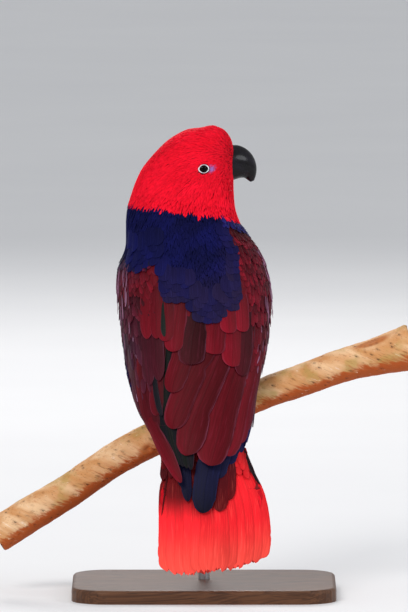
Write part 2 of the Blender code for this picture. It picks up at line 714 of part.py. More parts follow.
def main():
    clear_scene()
    head, trunk = make_trunk_line()
    make_bill(head)
    make_eyes(head)
    make_wing("wing_left", 1.0, 10, 15)
    make_wing("wing_right", -1.0, 14, 15)
    for name, sizes in BLADES.items():
        make_blade(name, sizes)
    perch = make_perch(trunk)
    trunk_room = make_trunk_room()
    for side, sizes in LEGS.items():
        make_thigh(side, sizes, trunk_room)
        make_foot(side, sizes, trunk)
    make_stand(perch)


main()
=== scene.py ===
"""Plumage, skin, bill, eyes, feet, bark and stand of a life-size female eclectus parrot.

Shapes are worked out in millimetres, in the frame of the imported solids, and placed in metres.
The bird faces -Y and looks to its own right, which is -X. Angles round the body run from the
back, through the bird's left side.
"""
import math

import bmesh
import bpy
import numpy as np
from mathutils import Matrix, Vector
from mathutils.bvhtree import BVHTree


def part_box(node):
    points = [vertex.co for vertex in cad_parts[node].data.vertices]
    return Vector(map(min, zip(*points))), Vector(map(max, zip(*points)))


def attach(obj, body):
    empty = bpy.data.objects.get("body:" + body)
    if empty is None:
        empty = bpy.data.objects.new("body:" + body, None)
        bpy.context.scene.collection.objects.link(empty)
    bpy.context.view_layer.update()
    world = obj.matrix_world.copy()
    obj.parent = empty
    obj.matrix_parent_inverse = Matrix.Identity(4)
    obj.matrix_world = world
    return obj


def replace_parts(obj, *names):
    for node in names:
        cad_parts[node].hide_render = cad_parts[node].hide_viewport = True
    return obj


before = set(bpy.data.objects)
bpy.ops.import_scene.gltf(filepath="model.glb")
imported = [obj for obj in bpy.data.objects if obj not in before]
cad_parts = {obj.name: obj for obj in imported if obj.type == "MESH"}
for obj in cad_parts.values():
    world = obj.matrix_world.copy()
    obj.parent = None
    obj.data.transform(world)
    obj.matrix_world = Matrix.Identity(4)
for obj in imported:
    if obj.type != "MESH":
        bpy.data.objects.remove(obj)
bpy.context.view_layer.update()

MM = 0.001
rng = np.random.default_rng(11)

# Outline
# Height, left edge, right edge, back, front and turn in degrees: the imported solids' outline, with
# the feathers of the head a little fuller.
BODY = np.array([
    (335.6, 9, -13, -29, -45.5, 16), (330, 20.6, -18.4, -21.2, -52.8, 16),
    (323, 30, -21.6, -15.8, -57.8, 16), (307, 44.6, -22.9, -12.8, -60.8, 16),
    (296, 50.2, -22.6, -11.8, -62.8, 15), (286, 53.4, -22.4, -7.9, -66.8, 11),
    (276, 56.2, -23.2, -3, -71, 5), (264, 57, -27, 3, -76, 0), (251, 57.4, -34.4, 10, -80.5, 0),
    (242, 61, -40.3, 15, -82, 0), (232, 63.3, -44.8, 20.5, -81.5, 0), (212, 62.6, -49, 29.5, -77.5, 0),
    (189, 60.5, -49.3, 38.5, -66.5, 0), (171, 57.2, -47.6, 45, -51.5, 0),
    (160, 54.6, -45.6, 48.7, -31, 0), (150, 51.6, -43, 51.8, -5, 0), (138, 47.5, -39.8, 55.4, 9, 0),
    (122, 41.5, -37.4, 60, 13.5, 0)])[::-1]
# Height, left edge, right edge, back and front.
TAIL = np.array([
    (122, 30.5, -26.4, 49, 13.5), (111, 26.5, -27.5, 54, 21), (98, 27, -33.5, 59, 38),
    (86, 31, -40.5, 63.5, 53), (72, 32.2, -45.5, 69, 63.5), (56, 33, -48.3, 74.5, 71),
    (40, 33.2, -47.5, 80, 77.6), (24, 32.4, -45.5, 85, 83.2)])[::-1]
# Place across, height, and half the branch's height and depth.
PERCH = np.array([
    (151, 40.6, 12.4, 12), (104, 70, 12.2, 11.8), (46, 107.2, 12, 11.6), (0, 125.8, 11.6, 11.4),
    (-51, 147.2, 11.2, 11.2), (-98, 163.8, 11.8, 11.4), (-124, 171.4, 13.8, 12),
    (-151, 178.4, 17.2, 13)])[::-1]
TAIL_ROOT = 122.0
SECTION_POWER = 2.2
PERCH_DEPTH = -8.0
PERCH_END = 149.4
CROWN_TOP = 335.6
NECK_TOP = 288.0
REAR_TOP = 124.0
BACK_TURN = 1.75


def column_at(rows, place, column):
    """Cubic through one column of the rows, whose first column is the place."""
    place = np.clip(np.asarray(place, float), rows[0, 0], rows[-1, 0])
    low = np.clip(np.searchsorted(rows[:, 0], place, side="right") - 1, 0, len(rows) - 2)
    high, before, after = low + 1, np.maximum(low - 1, 0), np.minimum(low + 2, len(rows) - 1)
    at, value = rows[:, 0], rows[:, column]
    span = at[high] - at[low]
    share = (place - at[low]) / span
    first = (value[high] - value[before]) / (at[high] - at[before]) * span
    second = (value[after] - value[low]) / (at[after] - at[low]) * span
    rise = value[high] - value[low]
    return (value[low] + share * first + share ** 2 * (3.0 * rise - 2.0 * first - second)
            + share ** 3 * (first + second - 2.0 * rise))


def ease(value, low, high):
    share = np.clip((np.asarray(value, float) - low) / (high - low), 0.0, 1.0)
    return share * share * (3.0 - 2.0 * share)


def signed_power(value, power):
    return np.sign(value) * np.abs(value) ** power


def stacked(*values):
    """Points from their values, any of which may be one number for all."""
    return np.stack(np.broadcast_arrays(*values), axis=-1)


def body_roll(height):
    """How far the body's outline sinks on its left side for each millimetre across."""
    whole = 0.07 * ease(height, 95.0, 130.0) * (1.0 - ease(height, 245.0, 275.0))
    return whole + 0.13 * ease(height, 126.0, 148.0) * (1.0 - ease(height, 158.0, 195.0))


def envelope(angle, height, inset=0.0):
    """Outer face of the plumage round the body, and of the folded wings over the tail."""
    left, right, back, front, turn = (column_at(BODY, height, c) for c in range(1, 6))
    below = np.maximum(TAIL_ROOT - height, 0.0)
    left, right = left - inset - 0.45 * below, right + inset + 0.3 * below
    back, front = back - inset + 0.46 * below, front + 0.9 * below
    narrow = 1.0 - 0.2 * ease(height, 276.0, 300.0) * np.maximum(-np.sin(angle), 0.0) ** 1.5
    across = (left - right) / 2.0 * signed_power(np.sin(angle), 2.0 / SECTION_POWER)
    deep = (back - front) / 2.0 * narrow * signed_power(np.cos(angle), 2.0 / SECTION_POWER)
    spin = np.radians(turn)
    x = (left + right) / 2.0 + across * np.cos(spin) - deep * np.sin(spin)
    y = (back + front) / 2.0 + across * np.sin(spin) + deep * np.cos(spin)
    return stacked(x, y, height - body_roll(height) * across)


def flank_inset(angle, height):
    """How far the breast's sides lie inside the folded wings."""
    deep = (11.0 - 3.0 * ease(height, 122.0, 155.0)) * (1.0 - ease(height, 246.0, 267.0))
    turn = np.abs(np.arctan2(np.sin(angle), np.cos(angle)))
    return deep * ease(turn, 1.75, 1.86 + 0.4 * ease(height, 176.0, 205.0))


def tail_back(x, height):
    """Upper face of the tail fan."""
    height = height + body_roll(height) * x
    left, right, back, front = (column_at(TAIL, height, c) for c in range(1, 5))
    share = np.minimum(np.abs(x - (left + right) / 2.0) / ((left - right) / 2.0), 0.97)
    bulge = (1.0 - share ** SECTION_POWER) ** (1.0 / SECTION_POWER)
    roof = 5.0 * (1.0 - ease(height, 84.0, TAIL_ROOT)) * share ** 2
    return (back + front) / 2.0 + (back - front) / 2.0 * bulge - roof


def tail_face(x, height):
    return stacked(x, tail_back(x, height), height)


def tail_end(x):
    """Height of the tail's lower edge."""
    share = (x + 7.0) / 41.0
    return 25.5 - 5.5 * share + 10.0 * share ** 4


def unit(vectors):
    return vectors / np.maximum(np.linalg.norm(vectors, axis=-1, keepdims=True), 1e-9)


def wave(points, size, seed):
    """Smooth variation over space, between about -1 and 1."""
    p = np.asarray(points, float) / size
    x, y, z = p[..., 0], p[..., 1], p[..., 2]
    return (np.sin(2.1 * x + 1.3 * y + seed) + np.sin(1.7 * y - 2.3 * z + 2.0 * seed)
            + np.sin(2.6 * z + 1.1 * x - seed) + np.sin(3.9 * x - 2.9 * y + 3.3 * z)) / 3.0


# Colours
def shade(red, green, blue):
    """Linear colour of three values on the usual scale of 0 to 255."""
    srgb = np.array([red, green, blue]) / 255.0
    return np.where(srgb <= 0.04045, srgb / 12.92, ((srgb + 0.055) / 1.055) ** 2.4)


SCARLET = shade(255, 14, 46)
DEEP_SCARLET = shade(232, 8, 34)
ROYAL = shade(19, 21, 80)
NAVY = shade(13, 14, 48)
SLATE = shade(44, 46, 76)
VIOLET = shade(40, 26, 78)
DUSK = shade(40, 30, 58)
MAROON = shade(106, 8, 24)
WINE = shade(64, 7, 18)
PLUM = shade(78, 28, 48)
LILAC_HIGHLIGHT = shade(158, 112, 140)
INK = shade(12, 14, 20)
MOSS = shade(30, 40, 36)
FLIGHT = shade(18, 18, 48)
CRIMSON = shade(98, 4, 12)
CORAL = shade(250, 34, 44)
PALE_CORAL = shade(252, 84, 70)
LID_BLUE = shade(132, 118, 196)


def mix(a, b, share):
    return a + (b - a) * np.asarray(share)[..., None]


def back_edge(height):
    """Place across the back where the blue mantle ends beside the right wing."""
    return np.interp(height, [212, 228, 243, 256, 266, 272], [-28, -26, -26, -20, -14, -70])


def mantle_hem(x):
    """Lower edge of the blue mantle, which hangs as a bib over the folded wings."""
    places = [-30, -26, -15, -12, -5, 4, 10, 13, 22, 29, 32, 33, 40, 48, 55]
    heights = [212, 206, 204, 199, 196.5, 200, 209, 214, 212.5, 216, 228, 240, 240, 235, 237]
    return np.interp(x, places, heights)


def collar(angle):
    """Height of the line between the red head and the blue, round the body."""
    turns = np.radians([-180, -145, -110, -75, -40, -10, 20, 60, 95, 130, 180])
    heights = [243, 249, 258, 266, 271, 272, 276, 277, 280, 258, 243]
    return np.interp(np.arctan2(np.sin(angle), np.cos(angle)), turns, heights)


def angle_of(points):
    """Angle round the body's middle line, from the back through the left side."""
    left, right, back, front = (column_at(BODY, points[..., 2], c) for c in range(1, 5))
    return np.arctan2(points[..., 0] - (left + right) / 2.0, points[..., 1] - (back + front) / 2.0)


RED, BLUE, WING, REAR = range(4)


def region(points):
    """Which marking a place has: red head, blue, folded wings, or tail with its coverts."""
    angle, x, height = angle_of(points), points[..., 0], points[..., 2]
    wisps = 1.3 * wave(points, 3.1, 0.4) + 0.9 * wave(points, 1.1, 2.1)
    mantle = (height > mantle_hem(x)) & (x > back_edge(height))
    kind = np.where((np.abs(angle) < 1.72) & ~mantle, WING, BLUE)
    kind = np.where(height + wisps > collar(angle), RED, kind)
    return np.where((height < REAR_TOP) & (points[..., 1] > 2.0), REAR, kind)


def marking(points):
    """Colour of the plumage and of the skin under it at places on the body."""
    points = np.asarray(points, float)
    kind = region(points)[..., None]
    red = mix(DEEP_SCARLET, SCARLET, 0.55 + 0.35 * wave(points, 9.0, 1.3))
    # Deeper scarlet over the face towards the bill: painted shade on the side of the head turned from the
    # light.
    face = ease(-points[..., 0], 2.0, 22.0) * (points[..., 2] > 280.0)
    red = mix(red, DEEP_SCARLET, 0.4 * face)
    blue = mix(NAVY, ROYAL, 0.5 + 0.45 * wave(points, 11.0, 2.2))
    turn = np.abs(angle_of(points))
    blue = mix(blue, VIOLET, 0.55 * ease(turn, BACK_TURN, 2.4))
    # The back's blue turns duller and greyer lower down and towards the right.
    low_right_dulling = 0.5 * ease(-points[..., 2], -246.0, -212.0) + 0.3 * ease(-points[..., 0], 4.0, 22.0)
    blue = mix(blue, DUSK, np.clip(low_right_dulling, 0.0, 0.65) * (turn < BACK_TURN))
    rear = mix(CRIMSON, DEEP_SCARLET, 0.3)
    return np.select([kind == RED, kind == BLUE, kind == WING], [red, blue, WINE * 0.6], rear)


# Materials
class Wire:
    """Output of a node that takes part in sums."""

    def __init__(self, paint, socket):
        self.paint, self.socket = paint, socket

    def maths(self, operation, *values):
        return self.paint.add("ShaderNodeMath", {"operation": operation}, dict(enumerate(values)))

    def __add__(self, other):
        return self.maths("ADD", self, other)

    def __sub__(self, other):
        return self.maths("SUBTRACT", self, other)

    def __rsub__(self, other):
        return self.maths("SUBTRACT", other, self)

    def __mul__(self, other):
        return self.maths("MULTIPLY", self, other)

    def __abs__(self):
        return self.maths("ABSOLUTE", self)

    __radd__ = __add__
    __rmul__ = __mul__

    def sine(self):
        return self.maths("SINE", self)

    def between(self, low, high):
        """0 at low, 1 at high and level outside."""
        return self.paint.add("ShaderNodeMapRange", {"interpolation_type": "SMOOTHSTEP"},
                              {"Value": self, "From Min": low, "From Max": high})


class Paint:
    """A material built from nodes round one Principled shader."""

    def __init__(self, name, **fixed):
        self.material = bpy.data.materials.new(name)
        self.material.use_nodes = True
        self.tree = self.material.node_tree
        self.shader = self.tree.nodes["Principled BSDF"]
        for socket, value in fixed.items():
            self.shader.inputs[socket.replace("_", " ")].default_value = value

    def add(self, kind, settings=None, inputs=None, output=0):
        node = self.tree.nodes.new(kind)
        for key, value in (settings or {}).items():
            setattr(node, key, value)
        for key, value in (inputs or {}).items():
            self.feed(node.inputs[key], value)
        return Wire(self, node.outputs[output])

    def feed(self, socket, value):
        if isinstance(value, Wire):
            self.tree.links.new(value.socket, socket)
        else:
            socket.default_value = value

    def colour(self, values):
        return (float(values[0]), float(values[1]), float(values[2]), 1.0)

    def attribute(self, name, output=2):
        """Value stored on the mesh: 0 is its colour, 1 its vector and 2 its number."""
        return self.add("ShaderNodeAttribute", {"attribute_name": name}, output=output)

    def blend(self, share, first, second):
        pair = [v if isinstance(v, Wire) else self.colour(v) for v in (first, second)]
        return self.add("ShaderNodeMix", {"data_type": "RGBA"}, {0: share, 6: pair[0], 7: pair[1]}, 2)

    def scaled(self, colour, size):
        return self.add("ShaderNodeVectorMath", {"operation": "SCALE"}, {0: colour, "Scale": size})

    def stretched(self, vector, x, y, z):
        return self.add("ShaderNodeMapping", {}, {"Vector": vector, "Scale": (x, y, z)})

    def noise(self, vector, scale, detail=3.0, roughness=0.55, warp=0.0):
        values = {"Vector": vector, "Scale": scale, "Detail": detail, "Roughness": roughness}
        return self.add("ShaderNodeTexNoise", {}, {**values, "Distortion": warp})

    def cells(self, vector, scale, feature="DISTANCE_TO_EDGE"):
        return self.add("ShaderNodeTexVoronoi", {"feature": feature}, {"Vector": vector, "Scale": scale})

    def place(self):
        """Place on the finished piece, in metres."""
        return self.add("ShaderNodeTexCoord", output=3)

    def finish(self, colour, roughness, height, depth, strength=1.0):
        self.feed(self.shader.inputs["Base Color"], colour)
        self.feed(self.shader.inputs["Roughness"], roughness)
        bump = {"Height": height, "Distance": depth, "Strength": strength}
        self.feed(self.shader.inputs["Normal"], self.add("ShaderNodeBump", {}, bump))
        return self.material


def plumage(name, painted_rim, painted_rim_share, lights, painted_sheen_share, roughness, sheen, streak, shaft_shade, gloss):
    """Feather finish: hair-like streaks along the vane, barbs that slant from a fine shaft, painted sheen
    dashes, and a painted rim at the edges: painted light on most plumage, painted shade on the tail.
    """
    painted_rim, lights = shade(*painted_rim), shade(*lights)
    paint = Paint(name, Sheen_Weight=sheen, Sheen_Roughness=0.45, Specular_IOR_Level=gloss)
    paint.shader.inputs["Sheen Tint"].default_value = paint.colour(lights)
    tint = paint.attribute("tint", 0)
    vane = paint.attribute("vane", 1)
    parts = paint.add("ShaderNodeSeparateXYZ", {}, {0: vane})
    along, across, seed = (Wire(paint, parts.socket.node.outputs[i]) for i in range(3))
    side = abs(across)
    lane = {0: across * 5.0 + seed * 31.0, 1: along * 0.03, 2: seed * 7.0}
    hair = paint.noise(paint.add("ShaderNodeCombineXYZ", {}, lane), 2.2)
    barbs = ((along + side * -3.4) * 8.0 + hair * 5.0).sine() * 0.5 + 0.5
    shaft = 1.0 - side.between(0.02, 0.085)
    light = hair.between(0.3, 0.7) * (2.0 * streak) + barbs * 0.08 + (0.98 - streak)
    colour = paint.scaled(tint, light)
    # Painted sheen: lighter dashes of the sheen colour along the hair streaks.
    colour = paint.blend(hair.between(0.54, 0.74) * painted_sheen_share, colour, lights)
    # Painted rim at the vane's edges: a painted light edge sheen on most plumage, and painted shade where the
    # tail's feathers overlap.
    colour = paint.blend(side.between(0.78, 1.0) * hair.between(0.35, 0.65) * painted_rim_share, colour, painted_rim)
    colour = paint.blend(shaft * 0.5, colour, paint.scaled(tint, shaft_shade))
    rough = roughness + (hair - 0.5) * 0.3
    return paint.finish(colour, rough, hair * 0.6 + barbs * 0.3 + shaft * 0.8, 0.00025, 0.5)


def scaly_grey(paint, cloud, scales):
    """Clouded grey of the feet, darker between the scales."""
    colour = paint.blend(cloud.between(0.35, 0.7), shade(96, 92, 96), shade(140, 134, 132))
    return paint.blend(1.0 - scales, colour, shade(58, 54, 58))


def skin_paint():
    """Bare skin under the plumage, and the grey scaly skin of the feet."""
    paint = Paint("bird_skin", Specular_IOR_Level=0.35)
    tint = paint.attribute("tint", 0)
    scaly = paint.attribute("scaly")
    place = paint.place()
    grain = paint.noise(place, 900.0)
    pores = paint.cells(place, 1300.0).between(0.0, 0.25)
    scales = paint.cells(place, 950.0).between(0.02, 0.2)
    colour = paint.blend(scaly, paint.scaled(tint, grain * 0.5 + 0.55), scaly_grey(paint, grain, scales))
    height = pores * (1.0 - scaly) + scales * scaly * 1.5
    return paint.finish(colour, 0.55 + grain * 0.2, height, 0.0002, 0.8)


def horn_paint(name, dark, light, ridge_scale, roughness):
    """Bill and claws: dense horn with faint growth lines and fine scratches."""
    paint = Paint(name, Specular_IOR_Level=0.14, Coat_Roughness=0.1)
    place = paint.place()
    cloud = paint.noise(place, 140.0, 4.0)
    fine = paint.noise(paint.stretched(place, 1.0, 1.0, 3.0), 900.0, 2.0)
    rings = (paint.add("ShaderNodeSeparateXYZ", {}, {0: place}, 2) * ridge_scale + cloud * 7.0).sine()
    colour = paint.blend(cloud.between(0.4, 0.75), dark, light)
    colour = paint.blend(fine.between(0.58, 0.72) * 0.4, colour, light)
    paint.feed(paint.shader.inputs["Coat Weight"], 0.06 + cloud * 0.14)
    return paint.finish(colour, roughness + fine * 0.16, rings * 0.25 + cloud + fine * 0.4, 0.0002, 0.35)


def eye_paint():
    """Dark brown iris round a black pupil, under a clear wet coat."""
    paint = Paint("eye_dark", Specular_IOR_Level=0.02, Coat_Roughness=0.02)
    ring = paint.attribute("ring")
    spokes = paint.noise(paint.place(), 2600.0, 2.0)
    colour = paint.blend(ring.between(0.42, 0.5), shade(2, 2, 2), shade(20, 11, 8))
    colour = paint.blend(ring.between(0.6, 0.95) * 0.7, colour, shade(8, 5, 4))
    colour = paint.scaled(colour, spokes * 0.9 + 0.5)
    paint.feed(paint.shader.inputs["Coat Weight"], 0.04 + spokes * 0.05)
    return paint.finish(colour, 0.1 + spokes * 0.06, spokes, 0.00003, 0.1)


def lid_paint():
    """Bare lid: a near-black inner wall as painted shade inside the lid's recess, then a white ring, then
    skin as dark as the feathers beside it.
    """
    paint = Paint("bare_lid", Specular_IOR_Level=0.4)
    place = paint.place()
    grain = paint.noise(place, 1500.0)
    beads = paint.cells(place, 1900.0)
    ring = paint.attribute("ring")
    # Near-black inner wall: painted shade in the recess round the eye.
    colour = paint.blend(ring.between(0.64, 0.69), shade(10, 8, 10), shade(236, 234, 240))
    colour = paint.blend(ring.between(0.81, 0.87), colour, shade(70, 14, 30))
    colour = paint.scaled(colour, grain * 0.25 + 0.87)
    return paint.finish(colour, 0.42 + grain * 0.2, beads.between(0.0, 0.3) + grain * 0.4, 0.00015, 0.6)


def foot_paint():
    paint = Paint("foot_scales", Specular_IOR_Level=0.4)
    place = paint.place()
    cloud = paint.noise(place, 260.0)
    scales = paint.cells(place, 950.0).between(0.02, 0.2)
    colour = scaly_grey(paint, cloud, scales)
    return paint.finish(colour, 0.5 + cloud * 0.25, scales + cloud * 0.3, 0.0003, 0.8)


def bark_paint():
    """Smooth pale bark: tan with orange streaks, olive patches, pale flakes and dark pits."""
    paint = Paint("smooth_bark", Specular_IOR_Level=0.3)
    place = paint.place()
    level = paint.add("ShaderNodeVectorRotate", {"rotation_type": "Y_AXIS"}, {"Vector": place, "Angle": 0.43})
    along = paint.stretched(level, 0.16, 1.0, 1.0)
    streak = paint.noise(along, 420.0, 5.0, 0.6, 0.6)
    broad = paint.noise(along, 90.0, 3.0, 0.5, 0.4)
    patch = paint.noise(place, 45.0)
    speck = paint.cells(paint.stretched(along, 2.2, 1.0, 1.0), 260.0, "F1")
    under = paint.attribute("under")
    torn = paint.attribute("torn")
    crack = paint.noise(paint.stretched(along, 0.5, 1.0, 1.0), 1500.0, 2.0)
    colour = paint.blend(broad.between(0.35, 0.68), shade(206, 146, 92), shade(236, 194, 150))
    colour = paint.blend(patch.between(0.52, 0.66) * 0.6, colour, shade(176, 148, 78))
    # Orange streaks, more of them towards the branch's underside.
    orange_share = (streak * 0.85 + under * 0.5).between(0.46, 0.76)
    colour = paint.blend(orange_share, colour, shade(178, 84, 32))
    colour = paint.blend(streak.between(0.36, 0.26) * 0.6, colour, shade(252, 232, 214))
    colour = paint.blend(crack.between(0.6, 0.7) * 0.5, colour, shade(126, 74, 40))
    colour = paint.blend(speck.between(0.14, 0.06) * 0.85, colour, shade(72, 40, 26))
    inner = paint.blend(streak, shade(120, 54, 26), shade(216, 128, 60))
    colour = paint.blend(torn.between(0.3, 0.8) * 0.85, colour, inner)
    height = streak * 0.6 + broad * 0.8 + patch * 0.4 + speck.between(0.1, 0.3)
    return paint.finish(colour, 0.62 + streak * 0.3, height, 0.0011, 0.8)


def cut_wood_paint():
    """Sawn end: pale wood with growth rings round the pith and a fine grain."""
    paint = Paint("cut_wood")
    ring = paint.attribute("ring")
    grain = paint.noise(paint.place(), 700.0, 4.0)
    rings = (ring * 62.0 + grain * 5.0).sine() * 0.5 + 0.5
    colour = paint.blend(rings.between(0.2, 0.9), shade(222, 190, 146), shade(176, 132, 84))
    colour = paint.blend(ring.between(0.9, 0.97), colour, shade(120, 74, 44))
    colour = paint.blend(ring.between(0.1, 0.0), colour, shade(110, 74, 44))
    return paint.finish(colour, 0.75 + grain * 0.15, rings + grain, 0.0003, 0.6)


def board_paint():
    """Dark waxed wood with long grain and open pores."""
    paint = Paint("waxed_wood", Coat_Roughness=0.3, Specular_IOR_Level=0.2)
    place = paint.stretched(paint.place(), 0.09, 1.0, 1.0)
    figure = paint.noise(place, 60.0, 4.0, 0.6, 1.4)
    grain = (figure * 46.0).sine() * 0.5 + 0.5
    pores = paint.noise(paint.stretched(place, 0.5, 1.0, 1.0), 1500.0, 2.0)
    colour = paint.blend(grain * 0.55, shade(74, 46, 30), shade(112, 74, 48))
    colour = paint.blend(pores.between(0.58, 0.7) * 0.6, colour, shade(34, 20, 14))
    paint.feed(paint.shader.inputs["Coat Weight"], 0.02 + figure * 0.1)
    return paint.finish(colour, 0.36 + pores * 0.2, grain * 0.3 + pores, 0.0002, 0.5)


def steel_paint():
    """Turned rod: fine rings round its length."""
    paint = Paint("brushed_rod", Metallic=1.0)
    lines = paint.noise(paint.stretched(paint.place(), 1.0, 1.0, 40.0), 130.0)
    colour = paint.blend(lines, shade(150, 152, 156), shade(196, 198, 202))
    return paint.finish(colour, 0.26 + lines * 0.2, lines, 0.00005, 0.4)


def floor_paint():
    paint = Paint("pale_floor")
    cloud = paint.noise(paint.place(), 3.0)
    colour = paint.blend(cloud, shade(226, 226, 228), shade(234, 234, 235))
    return paint.finish(colour, 0.7 + cloud * 0.1, cloud, 0.0005, 0.1)


# Meshes
def show(name, data):
    made = bpy.data.objects.new(name, data)
    bpy.context.scene.collection.objects.link(made)
    return made


def make_piece(name, bm, material):
    """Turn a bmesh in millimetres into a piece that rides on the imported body."""
    bmesh.ops.recalc_face_normals(bm, faces=bm.faces)
    bmesh.ops.scale(bm, vec=(MM, MM, MM), verts=bm.verts)
    mesh = bpy.data.meshes.new(name)
    bm.to_mesh(mesh)
    bm.free()
    mesh.shade_smooth()
    return place_piece(name, mesh, material)


def place_piece(name, mesh, material):
    piece = show(name, mesh)
    mesh.materials.append(material)
    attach(piece, "root")
    return piece


def tube(place, turns, levels):
    """Grid rolled into a closed tube; place gives the points for turns and levels from 0 to 1."""
    bm = bmesh.new()
    bmesh.ops.create_grid(bm, x_segments=turns, y_segments=levels, size=0.5)
    grid = np.array([v.co[:2] for v in bm.verts]) + 0.5
    points = place(grid[:, 0] * 2.0 * math.pi, grid[:, 1])
    for vertex, point in zip(bm.verts, points):
        vertex.co = point
    bmesh.ops.remove_doubles(bm, verts=bm.verts, dist=1e-4)
    return bm


def set_values(mesh, name, values):
    """Store a number, three numbers or a colour for each vertex."""
    values = np.ascontiguousarray(values, np.float32)
    wide = values.shape[1] if values.ndim > 1 else 1
    kind, key = {1: ("FLOAT", "value"), 3: ("FLOAT_VECTOR", "vector"), 4: ("FLOAT_COLOR", "color")}[wide]
    mesh.attributes.new(name, kind, "POINT").data.foreach_set(key, values.ravel())


def vertex_places(mesh):
    """Places of a finished mesh's vertices, in millimetres."""
    places = np.empty(len(mesh.vertices) * 3, np.float32)
    mesh.vertices.foreach_get("co", places)
    return places.reshape(-1, 3) / MM


def smooth(bm, times=1):
    for _ in range(times):
        bmesh.ops.smooth_vert(bm, verts=bm.verts, factor=0.5, use_axis_x=True, use_axis_y=True,
                              use_axis_z=True)


class Coat:
    """Joined mesh of thin closed vanes, each a run of lens-shaped rings."""
    UNDERSIDE = 0.6
    SHARP = math.radians(70.0)

    def __init__(self):
        self.points, self.tints, self.vanes, self.spots = [], [], [], []
        self.faces = {}
        self.count = 0

    def add(self, centres, normals, thick, across, tints, along, seeds, spot, patch, painted_side_shading=0.0):
        """Vanes round centres of feathers x rings x places across, with painted light on one edge and painted
        shade on the other, as strong as the last argument says.

        Each vane has its own patch of the unwrap, round its spot.
        """
        feathers, rings, wide = centres.shape[:3]
        bulge = (1.0 - np.abs(across) ** 2)[None, None, :, None]
        lift = normals[:, :, None, :] * thick[:, :, None, None] * bulge
        back = slice(wide - 2, 0, -1)
        points = np.concatenate([centres + lift, (centres - self.UNDERSIDE * lift)[:, :, back]], axis=2)
        edge = np.concatenate([across, across[back]])
        size = 2 * (wide - 1)
        level = np.linspace(-0.5, 0.5, rings)
        spots = stacked(spot[:, None, None, 0] + 0.5 * patch[:, None, None, 0] * edge,
                        spot[:, None, None, 1] + patch[:, None, None, 1] * level[:, None])
        vanes = stacked(along[:, :, None], edge, seeds[:, None, None])
        shades = np.ones((feathers, rings, size, 4))
        shades[..., :3] = tints[:, None, None, :] if tints.ndim == 2 else tints[:, :, None, :]
        # Painted light and shade across each vane: lighter at one edge and darker at the other.
        shades[..., :3] *= (1.0 + painted_side_shading * edge)[:, None]
        self.points.append(points.reshape(-1, 3))
        self.spots.append(spots.reshape(-1, 2))
        self.vanes.append(vanes.reshape(-1, 3))
        self.tints.append(shades.reshape(-1, 4))
        index = (np.arange(feathers * rings * size) + self.count).reshape(feathers, rings, size)
        after = np.roll(index, -1, axis=2)
        sides = np.stack([index[:, :-1], after[:, :-1], after[:, 1:], index[:, 1:]], axis=-1)
        self.faces.setdefault(4, []).append(sides.reshape(-1, 4))
        self.faces.setdefault(size, []).append(index[:, 0, ::-1])
        self.faces.setdefault(size, []).append(index[:, -1])
        self.count += feathers * rings * size

    def finish(self, name, slot, material=None):
        """Turn the vanes into a piece, finished like its slot's feathers unless told."""
        mesh = bpy.data.meshes.new(name)
        points = np.concatenate(self.points) * MM
        blocks = [(size, np.concatenate(parts)) for size, parts in sorted(self.faces.items())]
        corners = np.concatenate([block.ravel() for _, block in blocks])
        totals = np.concatenate([np.full(len(block), size) for size, block in blocks])
        mesh.vertices.add(len(points))
        mesh.vertices.foreach_set("co", points.astype(np.float32).ravel())
        mesh.loops.add(len(corners))
        mesh.loops.foreach_set("vertex_index", corners.astype(np.int32))
        mesh.polygons.add(len(totals))
        starts = np.concatenate([[0], np.cumsum(totals)[:-1]])
        mesh.polygons.foreach_set("loop_start", starts.astype(np.int32))
        mesh.update(calc_edges=True)
        mesh.uv_layers.new(name="OFBake")
        spots = np.concatenate(self.spots)[corners]
        mesh.uv_layers["OFBake"].uv.foreach_set("vector", spots.astype(np.float32).ravel())
        set_values(mesh, "tint", np.concatenate(self.tints))
        set_values(mesh, "vane", np.concatenate(self.vanes))
        mesh.shade_smooth()
        mesh.set_sharp_from_angle(angle=self.SHARP)
        place_piece(name, mesh, material or feathers[slot])


# Body under the plumage
def cad_copy(names, floor=()):
    """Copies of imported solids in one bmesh, cut off at their floors and swollen to close thin gaps."""
    bm = bmesh.new()
    for name in names:
        part = bmesh.new()
        part.from_mesh(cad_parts[name].data)
        bmesh.ops.scale(part, vec=(1000.0, 1000.0, 1000.0), verts=part.verts)
        bmesh.ops.remove_doubles(part, verts=part.verts, dist=0.002)
        if name in floor:
            geometry = list(part.verts) + list(part.edges) + list(part.faces)
            bmesh.ops.bisect_plane(part, geom=geometry, plane_co=(0.0, 0.0, floor[name]),
                                   plane_no=(0.0, 0.0, -1.0), clear_outer=True)
            bmesh.ops.holes_fill(part, edges=part.edges, sides=0)
        part.normal_update()
        for vertex in part.verts:
            vertex.co += vertex.normal * SWELL
        join(bm, part)
    return bm


def join(bm, other):
    """Add another bmesh's faces, which ends that one."""
    mesh = bpy.data.meshes.new("join_work")
    other.to_mesh(mesh)
    other.free()
    bm.from_mesh(mesh)
    bpy.data.meshes.remove(mesh)


def remeshed(bm, voxel, smoothing, whole=True):
    """Closed even surface round a bmesh's solids, as one body where it is to be whole."""
    mesh = bpy.data.meshes.new("remesh_work")
    bm.to_mesh(mesh)
    bm.free()
    work = show("remesh_work", mesh)
    step = work.modifiers.new("even", "REMESH")
    step.mode, step.voxel_size = "VOXEL", voxel
    shown = bpy.data.meshes.new_from_object(work.evaluated_get(bpy.context.evaluated_depsgraph_get()))
    bpy.data.objects.remove(work)
    bpy.data.meshes.remove(mesh)
    bm = bmesh.new()
    bm.from_mesh(shown)
    bpy.data.meshes.remove(shown)
    if whole:
        keep_largest(bm)
    smooth(bm, smoothing)
    bm.normal_update()
    return bm


